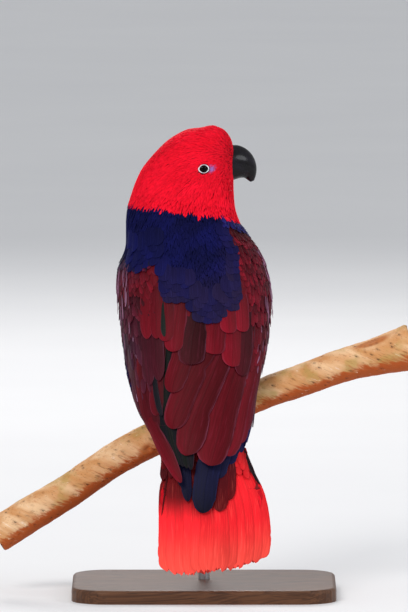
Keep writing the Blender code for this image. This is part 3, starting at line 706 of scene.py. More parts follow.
def keep_largest(bm):
    """Drop the small closed pockets that a remesh leaves inside."""
    rest, groups = set(bm.verts), []
    while rest:
        group = [rest.pop()]
        for vertex in group:
            near = {edge.other_vert(vertex) for edge in vertex.link_edges} & rest
            rest -= near
            group.extend(near)
        groups.append(group)
    groups.sort(key=len)
    bmesh.ops.delete(bm, geom=[v for group in groups[:-1] for v in group], context="VERTS")


FLESH = ["head", "neck", "trunk", "tail", "wing_left", "wing_right", "wing_tip_left",
         "wing_tip_right", "thigh_left", "thigh_right"]
SWELL = 0.5
GIRDLE_LOW = 177.0
BODY_VOXEL = 1.5
FOOT_VOXEL = 0.55


def add_girdle(bm, top):
    """Closed band that evens out the steps between head, neck, wings and breast."""
    def place(turn, level):
        height = GIRDLE_LOW + (top - GIRDLE_LOW) * level
        ring = envelope(turn, height, flank_inset(turn, height))
        hub = (ring + envelope(turn + math.pi, height, flank_inset(turn, height))) / 2.0
        close = ease(level, -0.0001, 0.02) * ease(1.0 - level, -0.0001, 0.009)
        return hub + (ring - hub) * close[:, None]

    join(bm, tube(place, 120, 110))
    return bm


def outer_face():
    """Outline of the plumage that tufts are laid on, as a search tree and its triangles."""
    bm = remeshed(add_girdle(cad_copy(FLESH), CROWN_TOP), BODY_VOXEL, 3)
    for vertex in bm.verts:
        vertex.co -= vertex.normal * SWELL
    bmesh.ops.triangulate(bm, faces=bm.faces)
    tree = BVHTree.FromBMesh(bm)
    bm.verts.ensure_lookup_table()
    points = np.array([v.co for v in bm.verts])
    normals = np.array([v.normal for v in bm.verts])
    faces = np.array([[v.index for v in f.verts] for f in bm.faces])
    bm.free()
    return tree, points, normals, faces


outer_tree, outer_points, outer_normals, outer_faces = outer_face()
EYE_CENTRE = {side: np.sum([tuple(corner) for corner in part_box(f"eye_{side}")], axis=0) / 2.0 / MM
              for side in ("right", "left")}
HEAD_TURN = math.radians(16.0)
AHEAD = np.array([-math.cos(HEAD_TURN), -math.sin(HEAD_TURN), 0.0])
BESIDE = np.array([-math.sin(HEAD_TURN), math.cos(HEAD_TURN), 0.0])
BILL_ROOT = np.array([-19.0, -45.3, 307.6])


def coat_depth(points):
    """How far the skin lies under the plumage."""
    height = points[:, 2]
    depth = 1.3 + 1.3 * (1.0 - ease(height, 250.0, 296.0))
    winged = ease(np.cos(angle_of(points)), -0.3, 0.1) * (1.0 - ease(height, 240.0, 262.0))
    depth = depth + 2.2 * winged * ease(height, 118.0, 140.0)
    tail = 1.0 - ease(height, 84.0, 122.0)
    depth = depth * (1.0 - tail) + 2.0 * tail
    near = np.minimum(np.linalg.norm(points - BILL_ROOT, axis=1), near_eye(points) + 5.0)
    return depth * (0.4 + 0.6 * ease(near, 10.0, 22.0))


def near_eye(points):
    return np.minimum(*(np.linalg.norm(points - centre, axis=1) for centre in EYE_CENTRE.values()))


def round_eye(points):
    """Distance from the nearer eye's middle along the side of the head, stretched like the lids."""
    away = [points - centre for centre in EYE_CENTRE.values()]
    flat = [np.hypot(gap @ AHEAD, gap[:, 2] / 0.8) for gap in away]
    aside = [np.abs(gap @ BESIDE) for gap in away]
    return np.where(aside[0] < aside[1], flat[0], flat[1])


def make_skin():
    """One skin: smooth under the plumage by the coat's depth, scaly on the feet."""
    floor = {"tail": 80.0, "wing_left": REAR_TOP, "wing_right": REAR_TOP}
    solids = cad_copy([name for name in FLESH if "tip" not in name], floor)
    body = remeshed(add_girdle(solids, 263.0), BODY_VOXEL, 4)
    depths = coat_depth(np.array([v.co for v in body.verts])) + SWELL
    for vertex, depth in zip(body.verts, depths):
        vertex.co -= vertex.normal * depth
    smooth(body)
    covered = len(body.verts)
    join(body, foot_flesh())
    skin = make_piece("bird_skin", body, skin_paint())
    mesh = skin.data
    colours = np.ones((len(mesh.vertices), 4))
    colours[:, :3] = marking(vertex_places(mesh)) * 0.8
    set_values(mesh, "tint", colours)
    set_values(mesh, "scaly", np.arange(len(mesh.vertices)) >= covered)
    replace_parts(skin, *FLESH, "foot_left", "foot_right")


# Tufts
def laid_down(flow, normals):
    """Directions turned to lie along a surface."""
    return unit(flow - normals * np.sum(flow * normals, axis=1, keepdims=True))


def lie_of_coat(points, normals):
    """Direction of the plumage: back from the bill over the head, then down to the tail."""
    height = points[:, 2]
    away = unit(points - (BILL_ROOT + 4.0 * AHEAD))
    head = ease(height, 262.0, 300.0)[:, None]
    down = np.array([0.0, 0.0, -1.0])
    front = ease(-points[:, 1], 20.0, 60.0)[:, None] * (1.0 - ease(height, 170.0, 230.0))[:, None]
    flow = away * head + down * (1.1 - 0.75 * head) + np.array([0.0, 0.55, 0.0]) * front
    crown = ease(height, 318.0, 330.0)[:, None]
    return laid_down(flow - down * 0.3 * crown, normals)


def scatter(keep, spacing, dense):
    """Evenly spread places on the outer face, where keep says so, at a spacing that may vary."""
    corner = outer_points[outer_faces]
    crossed = np.cross(corner[:, 1] - corner[:, 0], corner[:, 2] - corner[:, 0])
    areas = np.where(keep(corner.mean(axis=1)), np.linalg.norm(crossed, axis=1) / 2.0, 0.0)
    count = int(areas.sum() * dense)
    pick = rng.choice(len(areas), size=count, p=areas / areas.sum())
    u, v = rng.random(count), rng.random(count)
    fold = u + v > 1.0
    u, v = np.where(fold, 1.0 - u, u), np.where(fold, 1.0 - v, v)
    w = stacked(1.0 - u - v, u, v)[:, :, None]
    points = (corner[pick] * w).sum(axis=1)
    normals = unit((outer_normals[outer_faces[pick]] * w).sum(axis=1))
    room = spacing(points)
    cell = float(room.max())
    grid, kept = {}, []
    keys = np.floor(points / cell).astype(int)
    near = [(i, j, k) for i in (-1, 0, 1) for j in (-1, 0, 1) for k in (-1, 0, 1)]
    rows = zip(keys.tolist(), points.tolist(), (room ** 2).tolist())
    for index, ((i, j, k), (x, y, z), gap) in enumerate(rows):
        others = (other for a, b, c in near for other in grid.get((i + a, j + b, k + c), ()))
        if all((x - a) * (x - a) + (y - b) * (y - b) + (z - c) * (z - c) >= gap for a, b, c in others):
            grid.setdefault((i, j, k), []).append((x, y, z))
            kept.append(index)
    return points[kept], normals[kept]


ALL_STEPS = [0, 1, 2, 3, 4]
STEPS = np.array([0.0, 0.3, 0.62, 0.86, 1.0])
HAIR = np.array([0.55, 1.0, 0.85, 0.5, 0.1])
LEAF = np.array([0.5, 0.95, 1.0, 0.72, 0.14])


def unwrap(points, low, high):
    """Place on the skin unrolled round the body's middle line: turn against height."""
    turn = angle_of(points) / (2.0 * math.pi) + 0.5
    rise = (points[:, 2] - low) / (high - low)
    return 0.01 + 0.98 * stacked(turn, np.clip(rise, 0.0, 1.0))


def add_tufts(coat, points, normals, length, width, depth, profile, tints, span, thick, tip, rows, flow):
    """Small tufts rooted at the skin, whose tips lie at the outer face, down the lie of the coat."""
    steps, profile = STEPS[rows], profile[rows]
    count = len(points)
    turn = np.radians(rng.normal(0.0, 7.0, count))[:, None]
    flow = flow * np.cos(turn) + np.cross(normals, flow) * np.sin(turn)
    length = length * rng.uniform(0.85, 1.15, count)
    spine, faces, ahead = [points], [normals], flow
    for before, after in zip(steps[:-1], steps[1:]):
        goal = spine[-1] + ahead * (length * (after - before))[:, None]
        near = [outer_tree.find_nearest(Vector(place)) for place in goal]
        spine.append(np.array([hit[0] for hit in near]))
        normal = unit(0.6 * np.array([hit[1] for hit in near]) + 0.4 * faces[-1])
        faces.append(normal)
        ahead = laid_down(ahead, normal)
    spine, faces = np.stack(spine, axis=1), np.stack(faces, axis=1)
    sink = -depth[:, None] * (1.0 - steps[None, :]) ** 1.6 - tip[:, None]
    spine = spine + faces * sink[..., None]
    tangent = unit(np.gradient(spine, axis=1))
    side = unit(np.cross(tangent, faces))
    across = np.array([-1.0, 0.0, 1.0])
    half = (width * rng.uniform(0.85, 1.15, count))[:, None] / 2.0 * profile[None, :]
    centres = spine[:, :, None, :] + side[:, :, None, :] * (half[:, :, None] * across)[..., None]
    centres = centres - faces[:, :, None, :] * (0.22 * half[:, :, None] * across ** 2)[..., None]
    tints = tints * rng.uniform(0.88, 1.12, count)[:, None]
    patch = np.full((count, 2), 0.003)
    coat.add(centres, faces, np.full((count, len(steps)), thick) * (0.3 + 0.7 * profile), across, tints,
             steps[None, :] * length[:, None], rng.random(count), unwrap(points, *span), patch)


def make_tufts():
    """Hair-like feathers of the head, mantle, breast and thighs, coloured by where their tips lie."""
    def keep(points):
        free = np.linalg.norm(points - BILL_ROOT, axis=1) > 6.5
        return free & ((near_eye(points) > 9.0) | (round_eye(points) > 4.5)) & (region(points) != REAR)

    def growth(points):
        bill = ease(np.linalg.norm(points - BILL_ROOT, axis=1), 8.0, 34.0)
        upper = 1.0 - ease(points[:, 2], 262.0, 330.0) * 0.35
        return np.minimum(bill, ease(near_eye(points), 4.0, 16.0)) * upper

    def room(points):
        body = 1.0 - ease(points[:, 2], 250.0, 284.0)
        back = np.abs(angle_of(points)) < BACK_TURN
        return 0.52 + 0.52 * growth(points) + np.where(back, 0.2, 0.62) * body

    points, normals = scatter(keep, room, 5.0)
    size = growth(points)
    body = 1.0 - ease(points[:, 2], 246.0, 280.0)
    low = 1.0 - ease(points[:, 2], 135.0, 170.0)
    length = 2.4 + 6.0 * size + 3.6 * body - 4.0 * low
    flow = lie_of_coat(points, normals)
    fringe = np.abs(points[:, 2] - length - collar(angle_of(points))) < 7.0
    length = np.where(fringe, length * rng.uniform(0.5, 0.85, len(length)), length)
    for _ in range(6):
        tips = points + flow * length[:, None]
        covers = (near_eye(tips) < 8.0) & (round_eye(tips) < 4.2)
        length = np.where(covers, np.maximum(length * 0.7, 0.6), length)
    kind = region(points + flow * (1.05 * length)[:, None])
    tips = points + flow * (0.85 * length)[:, None]
    kind = np.where(region(tips) == RED, RED, kind)
    tints = marking(tips)
    for centre in EYE_CENTRE.values():
        corner = centre + 6.3 * AHEAD + np.array([0.0, 0.0, -0.6])
        away = np.linalg.norm((tips - corner) * np.array([1.0, 0.4, 0.85]), axis=1)
        tints = mix(tints, LID_BLUE, 0.85 * (1.0 - ease(away, 1.3, 3.3)))
    depth = coat_depth(points) * np.where(kind == BLUE, 0.75, 0.9)
    turn = np.abs(angle_of(points))
    back = turn < BACK_TURN
    flank = (1.0 - ease(turn, 1.74, 2.0)) * (turn > 1.72)
    tip = 0.08 + 2.6 * flank * (1.0 - ease(points[:, 2], 205.0, 245.0))
    inner = region(tips + np.array([0.0, 0.0, -3.2])) == BLUE
    inner = inner & (region(tips + np.array([-3.4, 0.0, 0.0])) == BLUE)
    face = points[:, 0] < 12.0 + 0.3 * (points[:, 2] - 300.0)
    red, head = kind == RED, points[:, 2] > NECK_TOP
    parts = {"coat_face": (red & head & face, [0, 1, 3, 4], 0.5, "red_feathers"),
             "coat_crown": (red & head & ~face, [0, 1, 3, 4], 0.5, "red_feathers"),
             "coat_neck": (red & ~head, ALL_STEPS, 0.55, "red_feathers"),
             "coat_mantle": ((kind == BLUE) & back & inner, ALL_STEPS, 0.75, "blue_feathers"),
             "coat_breast": ((kind == BLUE) & ~back, ALL_STEPS, 1.0, "blue_feathers")}
    for name, (part, rows, broad, slot) in parts.items():
        coat = Coat()
        width = (0.7 + 0.55 * size + 1.3 * body * broad)[part]
        add_tufts(coat, points[part], normals[part], length[part], width, depth[part], HAIR, tints[part],
                  (120.0, 337.0), 0.09 + 0.05 * broad, tip[part], rows, flow[part])
        coat.finish(name, slot)


# Large feathers
# Outlines give the share of the width at shares of the length.
ROUND = [(0.0, 0.5), (0.18, 0.86), (0.45, 1.0), (0.75, 0.97), (0.88, 0.78), (0.96, 0.47), (1.0, 0.12)]
LONG = [(0.0, 0.55), (0.15, 0.85), (0.4, 1.0), (0.82, 0.95), (0.93, 0.68), (0.98, 0.38), (1.0, 0.1)]
BLUNT = [(0.0, 0.55), (0.15, 0.85), (0.4, 1.0), (0.86, 1.0), (0.93, 0.86), (0.97, 0.62), (0.99, 0.36),
         (1.0, 0.1)]
FAN = [(0.0, 0.3), (0.2, 0.5), (0.5, 0.78), (0.85, 1.0), (0.95, 0.93), (0.985, 0.74), (1.0, 0.5)]
WING_END = 104.0
CELL_TALL = 2.5
CELL_FILL = 0.9


def ring_steps(rings):
    """Shares along a feather, closer together towards its rounded tip."""
    return 1.0 - (1.0 - np.linspace(0.0, 1.0, rings)) ** 1.7


def laid_vanes(coat, face, spine, width, level, rise, tilt, tints, outline, thick, cell, wide=7,
               splits=0.5, fray=0.0, painted_side_shading=0.0):
    """Large feathers laid on a face.

    spine holds feathers x rings x the face's two numbers. level is the depth of the root, rise how
    much higher the tip lies, and tilt lifts one edge over the next feather. cell gives the first
    feather's number in its piece, and how many there is room for in the unwrap.
    """
    feathers, rings = spine.shape[:2]
    width, level, tilt = (np.broadcast_to(np.asarray(v, float), feathers) for v in (width, level, tilt))
    share = ring_steps(rings)
    a, b = spine[..., 0], spine[..., 1]
    point = face(a, b)
    step = 0.002 if face is envelope else 0.2
    by_a = (face(a + step, b) - face(a - step, b)) / (2.0 * step)
    by_b = (face(a, b + 0.2) - face(a, b - 0.2)) / 0.4
    normal = unit(np.cross(by_b, by_a))
    tangent = unit(np.gradient(point, axis=1))
    side = unit(np.cross(tangent, normal))
    form = np.interp(share, *zip(*outline))
    across = np.linspace(-1.0, 1.0, wide)
    half = width[:, None] / 2.0 * form[None, :]
    cut = rng.random((feathers, rings, 2))
    notch = np.where(cut > 0.75, 1.0 - 0.12 * splits * rng.random((feathers, rings, 2)), 1.0)
    notch[:, :3] = 1.0
    reach = half[:, :, None] * across
    reach = np.where(across < 0.0, reach * notch[..., :1], reach * notch[..., 1:])
    want = side[:, :, None, :] * reach[..., None]
    if fray:
        ends = ease(share, 0.9, 1.0)[None, :, None] * rng.uniform(-1.0, 0.45, (feathers, 1, wide))
        want = want + tangent[:, :, None, :] * (ends * fray)[..., None]
    aa, bb, ab = (by_a ** 2).sum(-1), (by_b ** 2).sum(-1), (by_a * by_b).sum(-1)
    wa, wb = (want * by_a[:, :, None]).sum(-1), (want * by_b[:, :, None]).sum(-1)
    whole = (aa * bb - ab ** 2)[:, :, None]
    da = (wa * bb[:, :, None] - wb * ab[:, :, None]) / whole
    db = (wb * aa[:, :, None] - wa * ab[:, :, None]) / whole
    placed = face(a[:, :, None] + da, b[:, :, None] + db)
    high = level[:, None] + rise * share[None, :]
    high = high[:, :, None] + tilt[:, None, None] * across - 0.35 * (across ** 2) * form[None, :, None]
    placed = placed + normal[:, :, None, :] * high[..., None]
    along = np.zeros((feathers, rings))
    along[:, 1:] = np.cumsum(np.linalg.norm(np.diff(point, axis=1), axis=2), axis=1)
    order = np.arange(feathers) + cell[0]
    columns = int(math.ceil(math.sqrt(cell[1] * CELL_TALL)))
    lines = int(math.ceil(cell[1] / columns))
    spot = stacked((order % columns + 0.5) / columns, (order // columns + 0.5) / lines)
    patch = np.tile([CELL_FILL / columns, CELL_FILL / lines], (feathers, 1))
    coat.add(placed, normal, np.full((feathers, rings), thick) * (0.5 + 0.5 * form), across, tints, along,
             rng.random(feathers), spot, patch, painted_side_shading)


def curve(rows, rings):
    """Spines through root, middle and tip of each feather: feathers x rings x 2."""
    rows = np.asarray(rows, float)
    share = ring_steps(rings)[None, :, None]
    root, middle, tip = rows[:, None, 0:2], rows[:, None, 2:4], rows[:, None, 4:6]
    bend = 2.0 * middle - (root + tip) / 2.0
    return (1.0 - share) ** 2 * root + 2.0 * share * (1.0 - share) * bend + share ** 2 * tip


def wing_rows(rows, rings):
    """Spines whose first number is an angle in degrees."""
    spine = curve(rows, rings)
    spine[..., 0] = np.radians(spine[..., 0])
    return spine


def run(first, last, count):
    """Rows that change evenly from the first feather to the last."""
    share = np.linspace(0.0, 1.0, count)[:, None]
    return np.array(first) * (1.0 - share) + np.array(last) * share


def streaked(tint, count, spread=0.12):
    """Tints of feathers that differ a little in brightness."""
    return tint * rng.uniform(1.0 - spread, 1.0 + spread, count)[:, None]


def graded(base, tip, rings, power=1.0):
    """Tint that changes from root to tip of each feather."""
    share = ring_steps(rings)[None, :, None] ** power
    return base[:, None, :] * (1.0 - share) + tip[:, None, :] * share


def make_coverts(coat, side, rows, first_deg, total, done):
    """Rows of narrow feathers from the wrist down, uneven and staggered like tiles.

    A row's numbers are its height at its inner and outer end, its feathers' length, width and depth,
    and the tints of its two ends. done feathers of the piece's total are there before.
    """
    for number, (top_in, top_out, length, width, level, tint_in, tint_out) in enumerate(rows):
        gap = width * 0.52 / 0.95
        count = max(int((WING_END - first_deg) / gap), 2)
        share = (np.arange(count) + (0.5 if number % 2 else 0.0)) / count
        deg = first_deg + (WING_END - first_deg) * share + rng.normal(0.0, 0.5, count)
        top = top_in + (top_out - top_in) * share + rng.normal(0.0, 1.9, count)
        drift = rng.normal(-2.0, 2.2, count) - 3.0 * share
        size = length * rng.uniform(0.85, 1.3, count)
        table = stacked(side * deg, top, side * (deg + drift * 0.4), top - size * 0.5,
                        side * (deg + drift), top - size)
        tint = mix(tint_in, tint_out, share) * rng.uniform(0.6, 1.35, count)[:, None]
        low = envelope(np.radians(table[:, 4]), table[:, 5] - 1.0)
        shown = (region(low) == WING) | ((length < 7.0) & (share > 0.1))
        table, tint, count = table[shown], tint[shown], int(shown.sum())
        # Roots darker as painted shade under the row above, and painted light and shade across each feather.
        laid_vanes(coat, envelope, wing_rows(table, 9), width * rng.uniform(0.7, 1.1, count),
                   level - 0.6 + rng.normal(0.0, 0.06, count), 1.6, 0.16 * side,
                   graded(tint * 0.35, tint, 9), ROUND, 0.15, (done, total), 5, 0.8, painted_side_shading=0.25 * side)
        done += count
    return done


def make_edge_highlight_barbs(coat, side, start, total):
    """Narrow barbs that run along the outer edge of a wing, plum to pale lilac: the pale lilac is a painted
    highlight on feathers seen edge-on, and the roots are darker as painted shade.
    """
    count = 46
    deg, top = rng.uniform(56.0, 99.0, count), rng.uniform(160.0, 248.0, count)
    size = rng.uniform(8.0, 18.0, count)
    low = top - size
    table = stacked(side * deg, top, side * (deg - 0.6), top - size * 0.5,
                    side * (deg + rng.normal(-0.5, 1.2, count)), low)
    level = np.where(low > 192.0, -0.55, -2.4)
    # Pale lilac as a painted highlight on the edge-on barbs.
    tints = mix(PLUM, LILAC_HIGHLIGHT, rng.random(count))
    laid_vanes(coat, envelope, wing_rows(table, 9), rng.uniform(0.7, 1.5, count), level, 0.85, 0.0,
               graded(tints * 0.6, tints, 9), LONG, 0.12, (start, total), 5)


def lay_flights(coat, rows, widths, levels, tilt, tints, outline, painted_side_shading):
    """The wing's long feathers, with painted shade towards their roots, and painted light and shade across
    each feather.
    """
    laid_vanes(coat, envelope, wing_rows(hanging_rows(rows), 24), widths, np.linspace(*levels, len(rows)),
               0.8, tilt, graded(tints * 0.5, tints, 24), outline, 0.24, (0, 20), 11, painted_side_shading=painted_side_shading)


def lay_edges(coat, side, first, last, cell):
    """Narrow dark feathers along the wing's outer edge."""
    laid_vanes(coat, envelope, wing_rows(run(first, last, 6), 20), 6.0, np.linspace(-3.0, -3.3, 6), 0.8,
               0.3 * side, streaked(mix(FLIGHT, PLUM, 0.4), 6), LONG, 0.2, cell)


def make_right_wing():
    """Right wing, folded over the middle of the back."""
    coat = Coat()
    flights = [
        (-2, 214, 13, 184, 23.5, 154.5), (-14, 212, 7, 168, 22.8, 126.5),
        (-24, 210, -4, 157, 12.6, 107.5), (-33, 206, -19.5, 151, -4.6, 100.5),
        (-40, 202, -31.5, 154, -18, 106.5), (-44.5, 198, -37, 156, -26.5, 114),
        (-47, 196, -40.5, 158, -32.5, 121.5), (-48, 196, -42.5, 160, -36.5, 130),
        (-48.6, 198, -43.8, 166, -39.6, 139), (-48.9, 202, -45, 174, -42.3, 148)]
    tint = np.array([MAROON * 0.7, MAROON * 0.72, MAROON * 0.68, MAROON * 0.74, MAROON * 1.1,
                     mix(MAROON * 1.2, PLUM, 0.2), mix(MAROON, PLUM, 0.4), mix(MAROON, PLUM, 0.5),
                     mix(PLUM, FLIGHT, 0.3), mix(PLUM, FLIGHT, 0.5)])
    widths = [17, 19, 21.5, 24, 17, 13, 11, 9.5, 8.5, 8]
    lay_flights(coat, flights, widths, (-1.9, -3.5), -0.5, tint, BLUNT, 0.34)
    under = run((-20.0, 190.0, -8.0, 150.0, 6.0, 113.0), (-56.0, 190.0, -50.0, 150.0, -40.0, 118.0), 4)
    laid_vanes(coat, envelope, wing_rows(under, 18), 19.0, -3.5, 0.3, -0.2, streaked(WINE * 0.6, 4), LONG,
               0.2, (16, 20))
    lay_edges(coat, -1.0, (-94.0, 190.0, -91.0, 158.0, -83.0, 122.0),
              (-103.0, 204.0, -101.0, 172.0, -95.0, 140.0), (10, 20))
    coat.finish("wing_right_flights", "maroon_feathers")

    coat = Coat()
    scapulars = [
        (9, 218, 13, 200, 16, 181), (19, 222, 20, 205, 21, 188), (-2, 208, 2, 190, 4.5, 171),
        (-15, 210, -13, 193, -11, 176), (-26, 214, -27, 190, -27, 164), (-38, 218, -39, 190, -38, 156),
        (-22, 220, -23, 206, -23.5, 190), (-34, 226, -35, 208, -35, 190)]
    tint = np.array([MAROON * 1.05, MAROON * 0.95, WINE * 0.8, MAROON, MAROON * 1.15, WINE * 1.1,
                     MAROON * 1.3, MAROON * 1.3])
    total = 530
    # Roots darker as painted shade under the feathers above, and painted light and shade across each feather.
    laid_vanes(coat, envelope, wing_rows(scapulars, 18), [15, 13, 20, 17, 16, 14, 13, 13],
               [-1.35, -1.2, -1.15, -1.5, -1.6, -1.7, -1.0, -1.1], 0.95, -0.12,
               graded(tint * 0.5, tint, 18), BLUNT, 0.24, (0, total), 11, painted_side_shading=0.3)
    dark, warm, rose = mix(WINE, PLUM, 0.4), MAROON * 1.25, mix(MAROON, PLUM, 0.5)
    rows = [(196, 190, 30, 7.6, -2.7, MAROON, rose * 0.8), (206, 200, 24, 6.6, -2.4, MAROON, dark),
            (214, 208, 19, 5.8, -2, MAROON, rose), (220.5, 214.5, 15, 5.2, -1.75, MAROON * 1.1, dark),
            (226, 220, 13, 4.8, -1.6, warm, rose), (231.5, 225.5, 12, 4.5, -1.45, MAROON, dark),
            (237, 231, 11, 4.3, -1.35, warm, rose), (242.5, 236.5, 10.5, 4.2, -1.25, MAROON * 0.8, dark),
            (248, 241.5, 10, 4, -1.15, warm, rose), (253.5, 246.5, 9.5, 3.8, -1.05, MAROON * 0.7, dark),
            (259, 251.5, 9, 3.8, -0.95, warm, rose), (264.5, 256.5, 8.5, 3.6, -0.85, MAROON * 0.6, WINE),
            (273.5, 262.5, 6.5, 3.2, -0.7, ROYAL * 1.6, ROYAL * 1.6)]
    done = make_coverts(coat, -1.0, rows, 36.0, total, len(scapulars))
    make_edge_highlight_barbs(coat, -1.0, done, total)
    coat.finish("wing_right_coverts", "maroon_feathers")


def make_left_wing():
    """Left wing: its inner feathers pass under the right wing, with near-black vanes in the gap: dark inner
    webs, deepened as painted shade of the gap between the wings.
    """
    coat = Coat()
    flights = [
        (38, 200, 44, 142, 17, 88.5), (44, 199, 46, 156, 40, 124), (49, 197, 49.5, 160, 43, 133),
        (53, 196, 52, 164, 46, 142), (56, 194, 54, 168, 49.5, 150), (58.5, 193, 56.5, 170, 52, 156),
        (60, 194, 58, 175, 54, 163), (61, 196, 59.2, 180, 56.3, 170), (61.6, 198, 60, 184, 57.7, 176),
        (30, 205, 34, 172, 35, 139), (35, 196, 38.5, 160, 35.5, 122)]
    tint = np.array([MAROON * 0.95, mix(MAROON, WINE, 0.5), WINE, mix(WINE, PLUM, 0.4), mix(WINE, PLUM, 0.5),
                     mix(WINE, PLUM, 0.4), mix(PLUM, FLIGHT, 0.3), mix(PLUM, FLIGHT, 0.5),
                     mix(PLUM, FLIGHT, 0.6), mix(MAROON, WINE, 0.6), mix(MAROON, WINE, 0.8)])
    widths = [11.5, 12, 12, 11, 10, 9, 8.5, 8, 7.5, 13, 12]
    lay_flights(coat, flights, widths, (-2.4, -3.1), 0.45, tint, LONG, 0.4)
    # Near-black vanes in the gap between the wings: the inner webs' own dark green-black, deepened to ink as
    # painted shade.
    gap = hanging_rows(run((8.0, 190.0, 15.0, 150.0, 9.5, 98.0), (38.0, 190.0, 38.0, 150.0, 25.0, 103.0), 6))
    dark = np.array([INK, MOSS * 0.25, INK, MOSS * 0.3, INK, MOSS * 0.25])
    laid_vanes(coat, envelope, wing_rows(gap, 20), 10.0, -3.3, 0.4, 0.1, dark, LONG, 0.2, (11, 23))
    lay_edges(coat, 1.0, (92.0, 192.0, 91.0, 165.0, 87.0, 135.0), (103.0, 204.0, 101.0, 178.0, 96.0, 150.0),
              (17, 23))
    coat.finish("wing_left_flights", "maroon_feathers")

    coat = Coat()
    scapulars = [
        (27, 226, 28, 208, 29, 190), (35, 230, 37, 210, 38, 190), (29, 208, 31, 186, 31, 164),
        (37, 210, 40, 188, 41, 162), (21, 216, 21.5, 203, 22, 191), (35.6, 172, 36.8, 155, 35.5, 138)]
    # The moss-green fifth feather is a painted green-grey sheen on an inner web.
    tint = np.array([MAROON * 0.9, MAROON * 1.1, mix(WINE, PLUM, 0.2), mix(WINE, PLUM, 0.3), MOSS * 0.8,
                     INK * 1.6])
    total = 500
    # Roots darker as painted shade under the feathers above.
    laid_vanes(coat, envelope, wing_rows(scapulars, 18), [12, 13, 12, 13, 6.5, 4.6],
               [-1.3, -1.4, -1.9, -1.9, -1.1, -1.9], 0.95, 0.12, graded(tint * 0.55, tint, 18),
               ROUND, 0.22, (0, total), 9)
    dark, grey, rose = mix(WINE, PLUM, 0.4), mix(PLUM, SLATE, 0.4), mix(WINE, PLUM, 0.75)
    rows = [(196, 192, 32, 7.6, -2.7, dark, rose), (206, 202, 26, 6.6, -2.4, dark, grey),
            (214, 211, 20, 5.8, -2, dark, rose), (220, 218, 15, 5.2, -1.8, MAROON * 0.8, grey),
            (225.5, 224, 13.5, 4.8, -1.65, WINE, rose), (231, 229.5, 12.5, 4.5, -1.5, MAROON, dark),
            (236.5, 235, 12, 4.3, -1.35, MAROON, rose), (242, 240, 10.5, 4.2, -1.2, MAROON * 1.1, grey),
            (247, 245, 9.5, 4, -1.1, mix(MAROON, NAVY, 0.5), SLATE * 0.8),
            (251.5, 250, 9, 3.8, -1, NAVY, NAVY), (256, 254.5, 9, 3.8, -0.9, NAVY, NAVY)]
    done = make_coverts(coat, 1.0, rows, 34.0, total, len(scapulars))
    make_edge_highlight_barbs(coat, 1.0, done, total)
    coat.finish("wing_left_coverts", "maroon_feathers")


def make_wing_tips():
    """Navy blades of the primaries, lying on the tail, and the blue flank tips."""
    coat = Coat()
    blades = [
        (-9, 116, -2, 91, 0.3, 65.5), (-17, 117, -12.5, 103, -9.5, 89.5),
        (-24, 118, -20, 108.5, -17, 99.5), (-28, 120, -26, 114, -23.5, 107.5),
        (13, 112, 12.8, 94, 11.3, 73.5), (15.5, 113, 16, 98, 14.6, 83)]
    tint = np.array([FLIGHT, FLIGHT * 1.3, ROYAL * 0.5, ROYAL * 0.6, FLIGHT * 0.8, mix(FLIGHT, INK, 0.5)])
    dark = tint * np.array([0.25, 0.6, 1.0, 1.0, 0.5, 1.0])[:, None]
    laid_vanes(coat, tail_face, curve(blades, 20), [18, 12, 10, 9, 8, 7.5], [3.8, 3.2, 2.6, 2.1, 3.2, 2.7],
               -1.4, [-0.3] * 4 + [0.3] * 2, graded(tint, dark, 20, 4.0), LONG, 0.22, (0, 16), 9)
    tips = run((-72.0, 150.0, -76.0, 132.0, -75.0, 113.0), (-88.0, 158.0, -89.0, 140.0, -87.0, 121.0), 5)
    laid_vanes(coat, envelope, wing_rows(tips, 16), 6.5, -3.9, 0.6, -0.2, streaked(ROYAL, 5), LONG, 0.2,
               (7, 16))
    coat.finish("wing_primaries", "navy_feathers")


def degrees_at(x, height):
    """Angle on the body's outline at a place across the back."""
    below = np.maximum(TAIL_ROOT - height, 0.0)
    left, right = column_at(BODY, height, 1) - 0.45 * below, column_at(BODY, height, 2) + 0.3 * below
    share = np.clip((x - (left + right) / 2.0) / ((left - right) / 2.0), -1.0, 1.0)
    return np.degrees(np.arcsin(signed_power(share, SECTION_POWER / 2.0)))


def hanging_rows(table):
    """Spines on the body from rows of root, middle and tip, each given across the back and in height."""
    table = np.array(table, float)
    for column in (0, 2, 4):
        table[:, column] = degrees_at(table[:, column], table[:, column + 1])
    return table


